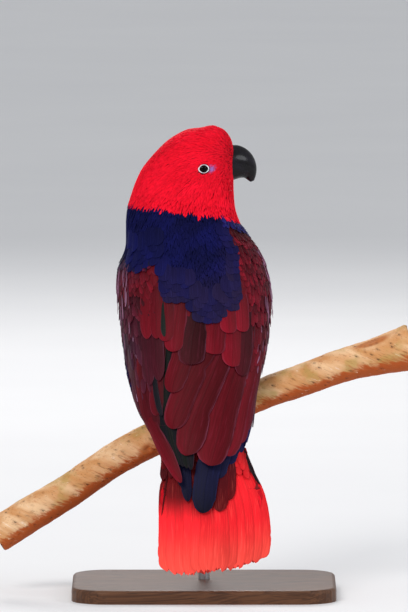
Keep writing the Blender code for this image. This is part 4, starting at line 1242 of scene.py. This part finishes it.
def make_mantle_hem():
    """Broad rounded feathers that end the blue mantle over the wings."""
    coat = Coat()
    rows, widths, levels = [], [], []
    for line in range(3, -1, -1):
        for x in np.arange(-25.0 + 2.8 * (line % 2), 57.0, 5.6):
            inner = min(max(x, -22.0), 54.0)
            low = mantle_hem(inner) + 4.6 * line + rng.normal(0.0, 0.5)
            if inner < 31.0 or low > 231.0 or line > 2:
                rows.append((inner, low + 12.0, inner, low + 6.0, inner + rng.normal(0.0, 0.5), low))
                widths.append(10.5)
                levels.append(-0.85 + 0.1 * line)
    for height in np.arange(212.0, 262.0, 4.6):
        for inside in (6.5, 3.0):
            x = float(back_edge(height)) + inside
            rows.append((x + 1.0, height + 11.0, x + 0.3, height + 5.0, x - 0.5, height))
            widths.append(7.5)
            levels.append(-0.85)
    for height in np.arange(218.0, 240.0, 4.6):
        rows.append((28.5, height + 11.0, 28.5, height + 5.0, 28.8, height))
        widths.append(7.0)
        levels.append(-1.0)
    count = len(rows)
    tints = mix(NAVY, ROYAL, 0.2 + 0.7 * rng.random(count))
    tips = np.array(rows)[:, 4:]
    # Lower down and towards the right the blue turns duller and greyer.
    low_right_dulling = 0.6 * ease(-tips[:, 1], -246.0, -212.0) + 0.3 * ease(-tips[:, 0], 4.0, 22.0)
    tints = mix(tints, DUSK, np.clip(low_right_dulling, 0.0, 0.75) * rng.uniform(0.5, 1.2, count))
    # Roots darker as painted shade under the row above.
    laid_vanes(coat, envelope, wing_rows(hanging_rows(rows), 9), widths, levels, 1.0,
               rng.normal(0.0, 0.06, count), graded(tints * 0.75, tints, 9), ROUND, 0.16, (0, count),
               splits=0.9)
    coat.finish("mantle_hem", "blue_feathers")


def make_back_base():
    """Maroon feathers of the shoulders that pass under the hem of the mantle."""
    coat = Coat()
    rows, levels = [], []
    for line in range(3):
        for x in np.arange(-30.0 + 2.5 * (line % 2), 56.0, 5.0):
            low = mantle_hem(x) + 2.0 - 8.0 * line
            rows.append((x, low + 14.0, x, low + 4.0, x, low - 8.0))
            levels.append(-1.9 - 0.25 * line)
    for height in np.arange(218.0, 262.0, 5.0):
        x = float(back_edge(height)) - 2.0
        rows.append((x + 1.0, height + 12.0, x, height + 5.0, x - 1.5, height - 3.0))
        levels.append(-1.8)
    count = len(rows)
    tints = streaked(mix(MAROON, WINE, 0.3), count, 0.2)
    # Roots darker as painted shade under the row above and the mantle's hem.
    laid_vanes(coat, envelope, wing_rows(hanging_rows(rows), 9), 8.5, levels, 0.7,
               rng.normal(0.0, 0.05, count), graded(tints * 0.5, tints, 9), ROUND, 0.16, (0, count), 5, 0.6)
    coat.finish("back_base", "maroon_feathers")


def make_tail():
    """Twelve tail feathers in a fan, two dark edges, and the coverts over the feathers' roots."""
    coat = Coat()
    count, rings = 12, 34
    side = (np.arange(count) - 5.5) / 5.5
    height = ring_steps(rings)
    spine, tints = np.empty((count, rings, 2)), np.empty((count, rings, 3))
    for index, share in enumerate(side):
        tip_x = -7.0 + 33.5 * share
        low = tail_end(tip_x) + 0.3 * abs(share)
        z = 116.0 + (low - 116.0) * height
        left, right = column_at(TAIL, z, 1), column_at(TAIL, z, 2)
        reach = (left - right) / 2.0 - 3.0 - 5.0 * ease(height, 0.2, 0.8)
        spine[index, :, 0] = (left + right) / 2.0 + share * reach
        spine[index, :, 1] = z
        # Dark crimson towards the roots is painted shade under the coverts and wing tips; it reaches further
        # down on the left.
        start = 0.4 - 0.36 * ease(-share, 0.0, 0.5) + rng.normal(0.0, 0.02)
        bands = 1.0 + 0.07 * np.sin(9.0 * height + 2.0 * index)
        bright = mix(CORAL, PALE_CORAL, 0.8 * ease(height, 0.6, 1.0))
        bright = bright * (rng.uniform(0.84, 1.03) * bands)[:, None]
        tints[index] = mix(CRIMSON, bright, ease(height, start, start + 0.24))
    # Painted light and shade across each tail feather, lighter at one edge and darker at the other.
    laid_vanes(coat, tail_face, spine, 17.0, -0.35 - 1.6 * np.abs(side), 0.25, 0.4 * np.sign(side),
               tints, FAN, 0.2, (0, count + 2), 13, fray=2.8, painted_side_shading=0.12)
    edges = [(25.2, 114.0, 26.4, 96.0, 30.6, 64.0), (-25.6, 117.0, -32.0, 100.0, -40.0, 85.0)]
    laid_vanes(coat, tail_face, curve(edges, 18), [1.2, 3.2], [-0.9, 0.0], 0.2, [0.2, -0.2],
               np.array([mix(CRIMSON, INK, 0.5), INK]), LONG, 0.2, (count, count + 2), 5)
    coat.finish("tail_feathers", "tail_feathers")

    coat = Coat()
    rows, levels = [], []
    for line in range(3):
        z = TAIL_ROOT - 6.0 * line
        reach = column_at(TAIL, z - 12.0, 1) - column_at(TAIL, z - 12.0, 2)
        for share in np.linspace(-0.46, 0.46, 12 + line % 2):
            x = (column_at(TAIL, z, 1) + column_at(TAIL, z, 2)) / 2.0 + share * reach
            rows.append((x, z, x + 2.5 * share, z - 11.0, x + 5.0 * share, z - 21.0 + rng.normal(0.0, 2.2)))
            levels.append(1.2 - 0.3 * line)
    count = len(rows)
    tints = mix(CRIMSON, WINE * 0.7, rng.random(count))
    tints = mix(tints, CORAL * 0.6, ease(-np.array(rows)[:, 0], 8.0, 20.0))
    # Two dark feathers on the tail: painted shadow under the blades of the wing tips.
    patch = [(-10.0, 106.0, -11.5, 86.0, -11.0, 67.0), (-17.0, 108.0, -18.0, 92.0, -18.0, 75.0)]
    shaded = graded(np.tile(WINE, (2, 1)), np.tile(CRIMSON * 0.8, (2, 1)), 16)
    laid_vanes(coat, tail_face, curve(patch, 16), [13.0, 10.0], [1.5, 1.2], -0.6, -0.2, shaded, LONG, 0.16,
               (count, count + 2))
    # The coverts' roots are darker: painted shade under the row above.
    laid_vanes(coat, tail_face, curve(rows, 12), 5.5, np.array(levels) - 0.6, 0.5, 0.0,
               graded(tints * 0.5, tints * 1.2, 12), LONG, 0.16, (0, count + 2), 5, 0.7)
    coat.finish("tail_upper_coverts", "tail_feathers")


def make_under_tail():
    """Soft red coverts under the tail and at its sides, grown from the belly's end."""
    def keep(points):
        under = (points[:, 2] < 128.0) & (points[:, 2] > 74.0) & (points[:, 1] > 4.0)
        return under & (points[:, 1] < tail_back(points[:, 0], points[:, 2]) - 3.0)

    points, normals = scatter(keep, lambda places: np.full(len(places), 2.7), 1.2)
    facing = normals[:, 1] < 0.45
    points, normals = points[facing], normals[facing]
    length = 13.0 - 3.0 * (1.0 - ease(points[:, 2], 80.0, 120.0))
    tints = mix(DEEP_SCARLET, CRIMSON, 0.5 * rng.random(len(points)))
    ones = np.ones(len(points))
    coat = Coat()
    add_tufts(coat, points, normals, length, 4.6 * ones, 1.2 * ones, LEAF, tints,
              (70.0, 130.0), 0.18, 0.1 * ones, ALL_STEPS, lie_of_coat(points, normals))
    coat.finish("tail_under_coverts", "tail_feathers")


# Bill and eyes
EYE_RADIUS = 4.5
EYE_BULGE = 0.5
EYE_RINGS = 20
IRIS = 3.2
LID_REACH = 5.0
LID_TALL = 0.73
BEADS = 26


def on_head(ahead, beside, above):
    """Points of the head from distances ahead of the feather line, to its right and above."""
    ahead, beside, above = (np.asarray(v, float)[..., None] for v in (ahead, beside, above))
    return BILL_ROOT + ahead * AHEAD + beside * BESIDE + above * np.array([0.0, 0.0, 1.0])


def upper_bill(turn, level):
    """Hooked upper bill, ridged along the top and sharp at its cutting edge."""
    share = 0.975 * np.clip((level - 0.02) / 0.975, 0.0, 1.0) ** 0.9
    close = ease(level, -0.001, 0.02)
    bend = np.radians(115.0 - 145.0 * share)
    top = np.stack([1.5 + 18.3 * np.cos(bend), -4.3 + 18.3 * np.sin(bend)], axis=-1)
    low = np.stack([-6.5 + 22.6 * share,
                    -12.0 + 1.7 * ease(share, 0.3, 0.66) - 3.1 * ease(share, 0.72, 1.0)], axis=-1)
    middle, reach = (top + low) / 2.0, (top - low) / 2.0
    up = signed_power(np.cos(turn), 0.9)
    pinch = 1.0 - 0.35 * np.maximum(np.cos(turn), 0.0) ** 2
    half = 9.2 * (1.0 - 0.95 * share ** 1.9) * pinch
    lip = 1.0 + 0.1 * np.exp(-((np.cos(turn) + 0.72) / 0.16) ** 2) * (1.0 - share)
    line = middle + reach * up[:, None]
    narrow = close * (1.0 - 0.9 * ease(level, 0.985, 1.001))
    line = middle + (line - middle) * close[:, None]
    return on_head(line[:, 0], -half * np.sin(turn) * lip * narrow, line[:, 1])


def lower_bill(turn, level):
    """Short lower bill, rounded at its end."""
    share = np.clip((level - 0.03) / 0.94, 0.0, 1.0)
    close = ease(level, -0.001, 0.03) * (1.0 - ease(level, 0.97, 1.001))
    low = -20.5 + 5.5 * share ** 2
    round_end = np.sqrt(1.0 - 0.72 * share ** 4)
    half = 7.2 * (1.0 - 0.3 * share) * round_end * close
    middle, reach = (-12.2 + low) / 2.0, (-12.2 - low) / 2.0 * round_end * close
    return on_head(-11.0 + 12.5 * share, -half * np.sin(turn), middle + reach * np.cos(turn))


def make_bill():
    for name, made in (("bill_upper", tube(upper_bill, 56, 70)), ("bill_lower", tube(lower_bill, 40, 24))):
        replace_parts(make_piece(f"horn_{name}", made, bill_horn), name)


def square_to(axis):
    """Level and upright directions square to an axis."""
    side = unit(np.cross(axis, np.array([0.0, 0.0, 1.0])))
    return side, np.cross(side, axis)


def dome(centre, axis, rings, sides):
    """Rings round an axis, each with its radius, its height along the axis and how tall it is for 1 wide."""
    side, up = square_to(axis)

    def place(turn, level):
        radius, rise, tall = (np.interp(level, np.linspace(0.0, 1.0, len(rings)), [r[i] for r in rings])
                              for i in range(3))
        return (centre + axis * rise[:, None] + side * (radius * np.sin(turn))[:, None]
                + up * (radius * tall * np.cos(turn))[:, None])
    return tube(place, sides, len(rings) - 1)


def ring_values(piece, centre, axis, size, tall=1.0):
    """Store each vertex's distance from an axis, for rings of colour that may be less tall than wide."""
    away = vertex_places(piece.data) - centre
    away = away - axis * (away @ axis)[:, None]
    away[:, 2] /= tall
    set_values(piece.data, "ring", np.linalg.norm(away, axis=1) / size)


def make_eyes():
    """Eyeballs with a bulging clear front, bare lids round them and fine beads on the lids."""
    eye_dark, bare_lid = eye_paint(), lid_paint()
    for side, sign in (("right", 1.0), ("left", -1.0)):
        centre, axis = EYE_CENTRE[side], BESIDE * sign
        rings = []
        for index, turn in enumerate(np.linspace(0.0, 0.97 * math.pi, EYE_RINGS)):
            rise = -EYE_RADIUS * math.cos(turn) + EYE_BULGE * max(-math.cos(turn), 0.0) ** 6
            rings.append((EYE_RADIUS * math.sin(turn), -abs(rise) if index <= EYE_RINGS // 2 else rise, 1.0))
        rings.append((0.0, EYE_RADIUS + EYE_BULGE, 1.0))
        piece = make_piece(f"ball_{side}", dome(centre, axis, rings, 36), eye_dark)
        ring_values(piece, centre, axis, IRIS)
        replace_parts(piece, f"eye_{side}")
        lid = [(3.0, 2.6, 0.86), (2.95, 3.2, 0.86), (3.05, 3.5, 0.86), (3.35, 3.7, 0.84), (3.75, 3.66, 0.8),
               (4.15, 3.3, 0.78), (4.9, 2.7, 0.8), (4.7, 2.0, 0.85), (3.6, 2.0, 0.86), (3.0, 2.6, 0.86)]
        piece = make_piece(f"lid_{side}", dome(centre, axis, lid, 48), bare_lid)
        ring_values(piece, centre, axis, LID_REACH, LID_TALL)
        beads = bmesh.new()
        across, up = square_to(axis)
        for index in range(BEADS):
            turn = 2.0 * math.pi * index / BEADS
            low = 0.5 + 0.5 * math.cos(turn + math.pi)
            spot = (centre + axis * (3.5 - 0.2 * low) + across * 4.6 * math.sin(turn)
                    + up * 3.75 * math.cos(turn))
            made = bmesh.ops.create_icosphere(beads, subdivisions=1, radius=0.16 + 0.12 * low)
            bmesh.ops.translate(beads, verts=made["verts"], vec=Vector(spot))
        make_piece(f"lid_beads_{side}", beads, bill_horn)


# Perch
# Place along the branch and angle round it.
KNOT = (42.0, 1.9)
TORN = (-121.0, 0.5)


def perch_lift(x):
    """Directions along the branch and square to it, at places along it."""
    rise = column_at(PERCH, x - 2.0, 1) - column_at(PERCH, x + 2.0, 1)
    axis = unit(stacked(-4.0, 0.0, rise))
    return axis, stacked(axis[..., 2], 0.0, -axis[..., 0])


def perch_middle(x):
    return stacked(x, PERCH_DEPTH, column_at(PERCH, x, 1))


def bark_marks(x, angle):
    """Hollow of the torn bark and swelling of the old knot: two values round the branch."""
    around = np.arctan2(np.sin(angle - TORN[1]), np.cos(angle - TORN[1]))
    torn = np.exp(-((x - TORN[0]) / 13.0) ** 2 - (around / 0.33) ** 2)
    around = np.arctan2(np.sin(angle - KNOT[1]), np.cos(angle - KNOT[1]))
    knot = np.exp(-((x - KNOT[0]) / 7.0) ** 2 - (around / 0.5) ** 2)
    return torn, knot


def perch_surface(x, angle, shrink=1.0):
    """Bark with low swellings, an old knot, a torn strip and fine unevenness."""
    _, lift = perch_lift(x)
    torn, knot = bark_marks(x, angle)
    fine = stacked(x * 0.35, 9.0 * np.cos(angle), 9.0 * np.sin(angle))
    flare = 2.6 * ease(-x, 112.0, 150.0) * (np.cos(2.0 * angle) - 1.0) * np.maximum(-np.sin(angle), 0.0)
    hole = 2.4 * np.exp(-((x - KNOT[0]) / 2.2) ** 2 - ((angle - KNOT[1]) / 0.17) ** 2)
    extra = 0.35 * np.sin(x / 17.0 + 2.0 * angle) + 0.3 * np.sin(x / 9.0 - angle)
    extra = extra + 0.22 * wave(fine, 2.3, 1.0) + 0.1 * wave(fine, 0.8, 2.0)
    extra = extra + flare
    extra = extra + 1.5 * knot - hole
    extra = extra - 1.1 * torn * (0.7 + 0.3 * np.sin(3.0 * x))
    high = (column_at(PERCH, x, 2) + extra) * shrink * np.cos(angle)
    deep = (column_at(PERCH, x, 3) + extra) * shrink * np.sin(angle)
    return perch_middle(x) + high[..., None] * lift + deep[..., None] * np.array([0.0, 1.0, 0.0])


def make_perch():
    """The cut branch: bark, then two sawn ends."""
    def bark(turn, level):
        x = PERCH_END - 2.0 * PERCH_END * level
        ends = 1.0 - 0.05 * (1.0 - ease(np.minimum(level, 1.0 - level), 0.0, 0.004))
        return perch_surface(x, turn, ends)

    bm = tube(bark, 72, 260)
    bmesh.ops.holes_fill(bm, edges=bm.edges, sides=0)
    for face in [f for f in bm.faces if len(f.verts) > 4]:
        bmesh.ops.poke(bm, faces=[face])
    piece = make_piece("bark_branch", bm, bark_paint())
    places = vertex_places(piece.data)
    _, lift = perch_lift(places[:, 0])
    high = np.sum((places - perch_middle(places[:, 0])) * lift, axis=1)
    angle = np.arctan2(places[:, 1] - PERCH_DEPTH, high)
    torn, knot = bark_marks(places[:, 0], angle)
    set_values(piece.data, "under", ease(-np.cos(angle), -0.1, 0.95))
    set_values(piece.data, "torn", np.clip(torn * 1.2 + knot * 0.8, 0.0, 1.0))
    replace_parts(piece, "perch")
    cut_wood = cut_wood_paint()
    for side, way in (("left", 1.0), ("right", -1.0)):
        x = way * PERCH_END
        axis, _ = perch_lift(np.array(x))

        def face(turn, level, x=x, way=way, axis=axis):
            shrink = np.interp(level, [0.0, 0.5, 0.85, 1.0], [0.0, 0.93, 0.93, 0.0])
            depth = np.interp(level, [0.0, 0.5, 0.85, 1.0], [0.45, 0.4, -0.6, -0.6])
            return perch_surface(np.full(len(turn), x), turn, shrink) - axis * (depth * way)[:, None]

        piece = make_piece(f"sawn_end_{side}", tube(face, 48, 12), cut_wood)
        ring_values(piece, perch_middle(x), axis, float(column_at(PERCH, x, 2)) * 0.95)


# Feet
# Each leg's place along the branch and the height of its knee; each toe's side of the branch, how it
# splays and how many degrees it reaches round.
LEGS = {"left": (27.0, 139.0), "right": (-17.0, 154.5)}
TOES = {1: (1.0, 0.93, 88.0), 2: (-1.0, 1.0, 92.0), 3: (-1.0, -1.06, 118.0), 4: (1.0, -0.97, 112.0)}
SHANK_DEPTH = -12.5
TOE_LIFT = 3.3


def toe_path(foot_x, toe, swing, lift):
    """Middle line of a toe round the branch, with the outward direction."""
    side, splay, _ = toe
    x = foot_x + 2.4 * splay + math.tan(math.radians(17.0)) * splay * 12.0 * np.sin(swing)
    _, up = perch_lift(x)
    radial = up * np.cos(swing)[:, None] + np.array([0.0, side, 0.0]) * np.sin(swing)[:, None]
    bark = np.hypot(column_at(PERCH, x, 2) * np.cos(swing), column_at(PERCH, x, 3) * np.sin(swing))
    return perch_middle(x) + radial * (bark + 1.35 + lift)[:, None], radial


def toe_face(foot_x, toe, swing, radius, lift, turn):
    """Points on a toe or claw; the turn runs from its outward side."""
    middle, radial = toe_path(foot_x, toe, swing, lift)
    later, _ = toe_path(foot_x, toe, swing + 0.05, lift)
    ahead = unit(later - middle)
    beside = unit(np.cross(ahead, radial))
    outward = unit(np.cross(beside, ahead))
    return middle + radius[:, None] * (np.cos(turn)[:, None] * outward + np.sin(turn)[:, None] * beside)


def shank_line(knee, sole_z, share):
    """Depth, height and radius of the shank, from inside the thigh to the branch."""
    y = SHANK_DEPTH + (PERCH_DEPTH - SHANK_DEPTH) * ease(share, 0.2, 1.0)
    return y, knee + 5.0 + (sole_z - knee - 5.0) * share, 3.5 + 1.3 * ease(share, 0.45, 0.95)


def toe_radius(share):
    """Radius of a toe, thinner towards its claw."""
    return 3.4 - 0.9 * share


def round_ends(level, end):
    """Share of a tube's length without its ends, and how its radius closes over them."""
    share = np.clip((level - end) / (1.0 - 2.0 * end), 0.0, 1.0)
    return share, np.sqrt(np.clip(np.minimum(level, 1.0 - level) / end, 0.0, 1.0))


def shank_tube(foot_x, knee, sole_z):
    def shank(turn, level):
        share, close = round_ends(level, 0.06)
        y, z, radius = shank_line(knee, sole_z, share)
        return stacked(foot_x + radius * close * np.sin(turn), y + radius * close * np.cos(turn), z)
    return tube(shank, 24, 24)


def toe_tube(foot_x, toe, arc, root):
    def flesh(turn, level):
        share, close = round_ends(level, 0.05)
        pads = 1.0 + 0.11 * np.cos(share * 6.0 * math.pi) * np.maximum(-np.cos(turn), 0.0)
        swing = root + (arc - root) * share
        return toe_face(foot_x, toe, swing, toe_radius(share) * pads * close, TOE_LIFT, turn)
    return tube(flesh, 20, 44)


def claw_tube(foot_x, toe, arc):
    def claw(turn, level):
        share = np.clip(level * 1.02 - 0.02, 0.0, 1.0)
        close = np.clip(level / 0.02, 0.0, 1.0)
        radius = 1.95 * (1.0 - 0.93 * share ** 1.15) * close * (1.0 - 0.22 * np.abs(np.sin(turn)))
        lift = TOE_LIFT + 1.7 * np.sin(math.pi * share) - 1.3 * share
        return toe_face(foot_x, toe, arc + np.radians(-4.0 + 42.0 * share), radius, lift, turn)
    return tube(claw, 18, 26)


def foot_sole(foot_x):
    """Height of the foot's middle over the branch."""
    slope = abs(float(perch_lift(np.array(foot_x))[0][0]))
    return float(column_at(PERCH, foot_x, 1)) + float(column_at(PERCH, foot_x, 2)) / slope + 4.65


def toe_span(number, toe):
    """Angles round the branch where a toe ends and where it starts."""
    return math.radians(toe[2]), math.radians(-6.0 - 3.0 * number)


def foot_flesh():
    """Shanks and toes of both feet as one closed fine surface each."""
    flesh = bmesh.new()
    for foot_x, knee in LEGS.values():
        parts = [shank_tube(foot_x, knee, foot_sole(foot_x))]
        parts += [toe_tube(foot_x, toe, *toe_span(number, toe)) for number, toe in TOES.items()]
        for part in parts:
            join(flesh, part)
    return remeshed(flesh, FOOT_VOXEL, 2, whole=False)


def make_claws():
    """Curved claws, and broad scutes over the toes and down the front of the shanks."""
    scutes = Coat()
    for side, (foot_x, knee) in LEGS.items():
        sole_z = foot_sole(foot_x)
        for number, toe in TOES.items():
            arc, root = toe_span(number, toe)
            piece = make_piece(f"horn_claw_{side}_{number}", claw_tube(foot_x, toe, arc), claw_horn)
            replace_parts(piece, f"claw_{side}_{number}")
            count = int(toe[2] / 8.2)
            start = np.linspace(math.radians(4.0), arc - math.radians(5.0), count)

            def toe_scute(turn, swing, foot_x=foot_x, toe=toe, arc=arc, root=root):
                share = np.clip((swing - root) / (arc - root), 0.0, 1.0).ravel()
                points = toe_face(foot_x, toe, swing.ravel(), toe_radius(share), TOE_LIFT, turn.ravel())
                return points.reshape(*swing.shape, 3)

            plates(scutes, toe_scute, start, math.radians(9.5))

        def shank_scute(turn, level, foot_x=foot_x, knee=knee, sole_z=sole_z):
            y, z, radius = shank_line(knee, sole_z, level)
            return stacked(foot_x + radius * np.sin(turn), y - radius * np.cos(turn), z)

        plates(scutes, shank_scute, np.linspace(0.1, 0.85, 7), 0.13)
    scutes.finish("foot_scutes", "foot_skin", foot_paint())


def plates(coat, face, start, reach):
    """Broad overlapping scutes along the upper side of a toe or the front of a shank."""
    count = len(start)
    share = np.linspace(0.0, 1.0, 5)
    across = np.linspace(-1.0, 1.0, 7)
    form = np.array([0.9, 1.0, 1.0, 0.94, 0.7])
    swing = start[:, None, None] + reach * share[None, :, None]
    turn, swing = np.broadcast_arrays(1.05 * across * form[:, None], swing)
    points = face(turn, swing)
    around = face(turn + 0.02, swing) - face(turn - 0.02, swing)
    later = face(turn, swing + 0.01) - face(turn, swing - 0.01)
    normal = unit(np.cross(around, later))
    crown = points[:, :, 3] - (points[:, :, 0] + points[:, :, 6]) / 2.0
    facing = np.sign(np.sum(normal[:, :, 3] * crown, axis=-1))
    normal = normal * facing[:, :, None, None]
    if np.mean(facing) < 0.0:
        points, normal = points[:, :, ::-1], normal[:, :, ::-1]
    lift = 0.02 + 0.3 * share[None, :, None, None] * (1.0 - 0.55 * across ** 2)[None, None, :, None]
    points = points + normal * lift
    seeds = rng.random(count)
    spot = np.stack([rng.random(count), rng.random(count)], axis=1) * 0.96 + 0.02
    coat.add(points, normal[:, :, 3], np.full((count, 5), 0.22), across,
             np.tile(shade(120, 116, 118), (count, 1)), np.tile(reach * share, (count, 1)), seeds, spot,
             np.full((count, 2), 0.03))


# Stand and room
FLOOR_HALF = 60.0
CAMERA_AWAY = 8.0
CAMERA_TILT = math.radians(5.0)
PICTURE_HEIGHT = 0.4406
PICTURE_MIDDLE = 0.2084
LIGHT_AIM = Vector((0.0, 0.0, 0.2))


def finish_stand():
    """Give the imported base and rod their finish."""
    for name, material in (("stand_base", board_paint()), ("stand_rod", steel_paint())):
        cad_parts[name].data.materials.clear()
        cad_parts[name].data.materials.append(material)


def area_light(name, place, size, power, colour):
    lamp = bpy.data.lights.new(name, "AREA")
    lamp.shape, lamp.size, lamp.energy, lamp.color = "DISK", size, power, colour
    light = show(name, lamp)
    light.location = place
    light.rotation_euler = (LIGHT_AIM - Vector(place)).to_track_quat("-Z", "Y").to_euler()


def make_room():
    """Pale floor, soft lights and the camera."""
    bm = bmesh.new()
    bmesh.ops.create_grid(bm, x_segments=2, y_segments=2, size=FLOOR_HALF)
    mesh = bpy.data.meshes.new("floor")
    bm.to_mesh(mesh)
    bm.free()
    floor = show("floor", mesh)
    mesh.materials.append(floor_paint())
    world = bpy.data.worlds.new("studio")
    world.use_nodes = True
    sky = world.node_tree.nodes["Background"].inputs
    sky["Color"].default_value = (0.95, 0.97, 1.0, 1.0)
    sky["Strength"].default_value = 0.62
    scene = bpy.context.scene
    scene.world = world
    scene.view_settings.view_transform = "Standard"
    area_light("key", (1.1, 2.1, 1.9), 1.1, 36.0, (1.0, 0.98, 0.95))
    area_light("side", (-1.9, 0.9, 1.2), 1.0, 15.0, (0.95, 0.97, 1.0))
    area_light("front", (0.2, -2.1, 1.6), 1.1, 20.0, (1.0, 0.98, 0.96))
    camera = bpy.data.cameras.new("camera")
    camera.sensor_fit = "VERTICAL"
    camera.angle = 2.0 * math.atan(PICTURE_HEIGHT / 2.0 / CAMERA_AWAY)
    viewer = show("camera", camera)
    rise = CAMERA_AWAY * math.sin(CAMERA_TILT)
    viewer.location = (0.0, CAMERA_AWAY * math.cos(CAMERA_TILT), PICTURE_MIDDLE + rise)
    viewer.rotation_euler = (math.radians(90.0) - CAMERA_TILT, 0.0, math.pi)
    scene.camera = viewer


# Each row's name is its slot's, and its numbers are plumage's, from the painted rim colour to gloss. The rim
# is a painted light edge sheen, and on the tail a painted overlap shade; the sheen tint after the rim's share
# is also painted in sheen dashes.
feathers = {row[0]: plumage(*row) for row in (
    ("red_feathers", (255, 60, 84), 0.1, (255, 64, 92), 0.2, 0.6, 0.35, 0.1, 0.95, 0.08),
    ("blue_feathers", (56, 60, 104), 0.1, (44, 50, 104), 0.2, 0.6, 0.03, 0.18, 0.85, 0.03),
    ("maroon_feathers", (150, 84, 112), 0.24, (132, 60, 84), 0.1, 0.5, 0.04, 0.15, 0.7, 0.08),
    ("navy_feathers", (40, 46, 96), 0.2, (40, 46, 100), 0.14, 0.5, 0.04, 0.18, 0.7, 0.08),
    ("tail_feathers", (140, 6, 16), 0.4, (255, 116, 100), 0.22, 0.55, 0.06, 0.12, 1.25, 0.08))}
bill_horn = horn_paint("bill_horn", shade(9, 7, 10), shade(24, 20, 31), 900.0, 0.2)
claw_horn = horn_paint("claw_horn", shade(28, 26, 27), shade(56, 52, 52), 1500.0, 0.3)

make_skin()
make_tufts()
make_mantle_hem()
make_back_base()
make_right_wing()
make_left_wing()
make_wing_tips()
make_tail()
make_under_tail()
make_bill()
make_eyes()
make_perch()
make_claws()
finish_stand()
make_room()
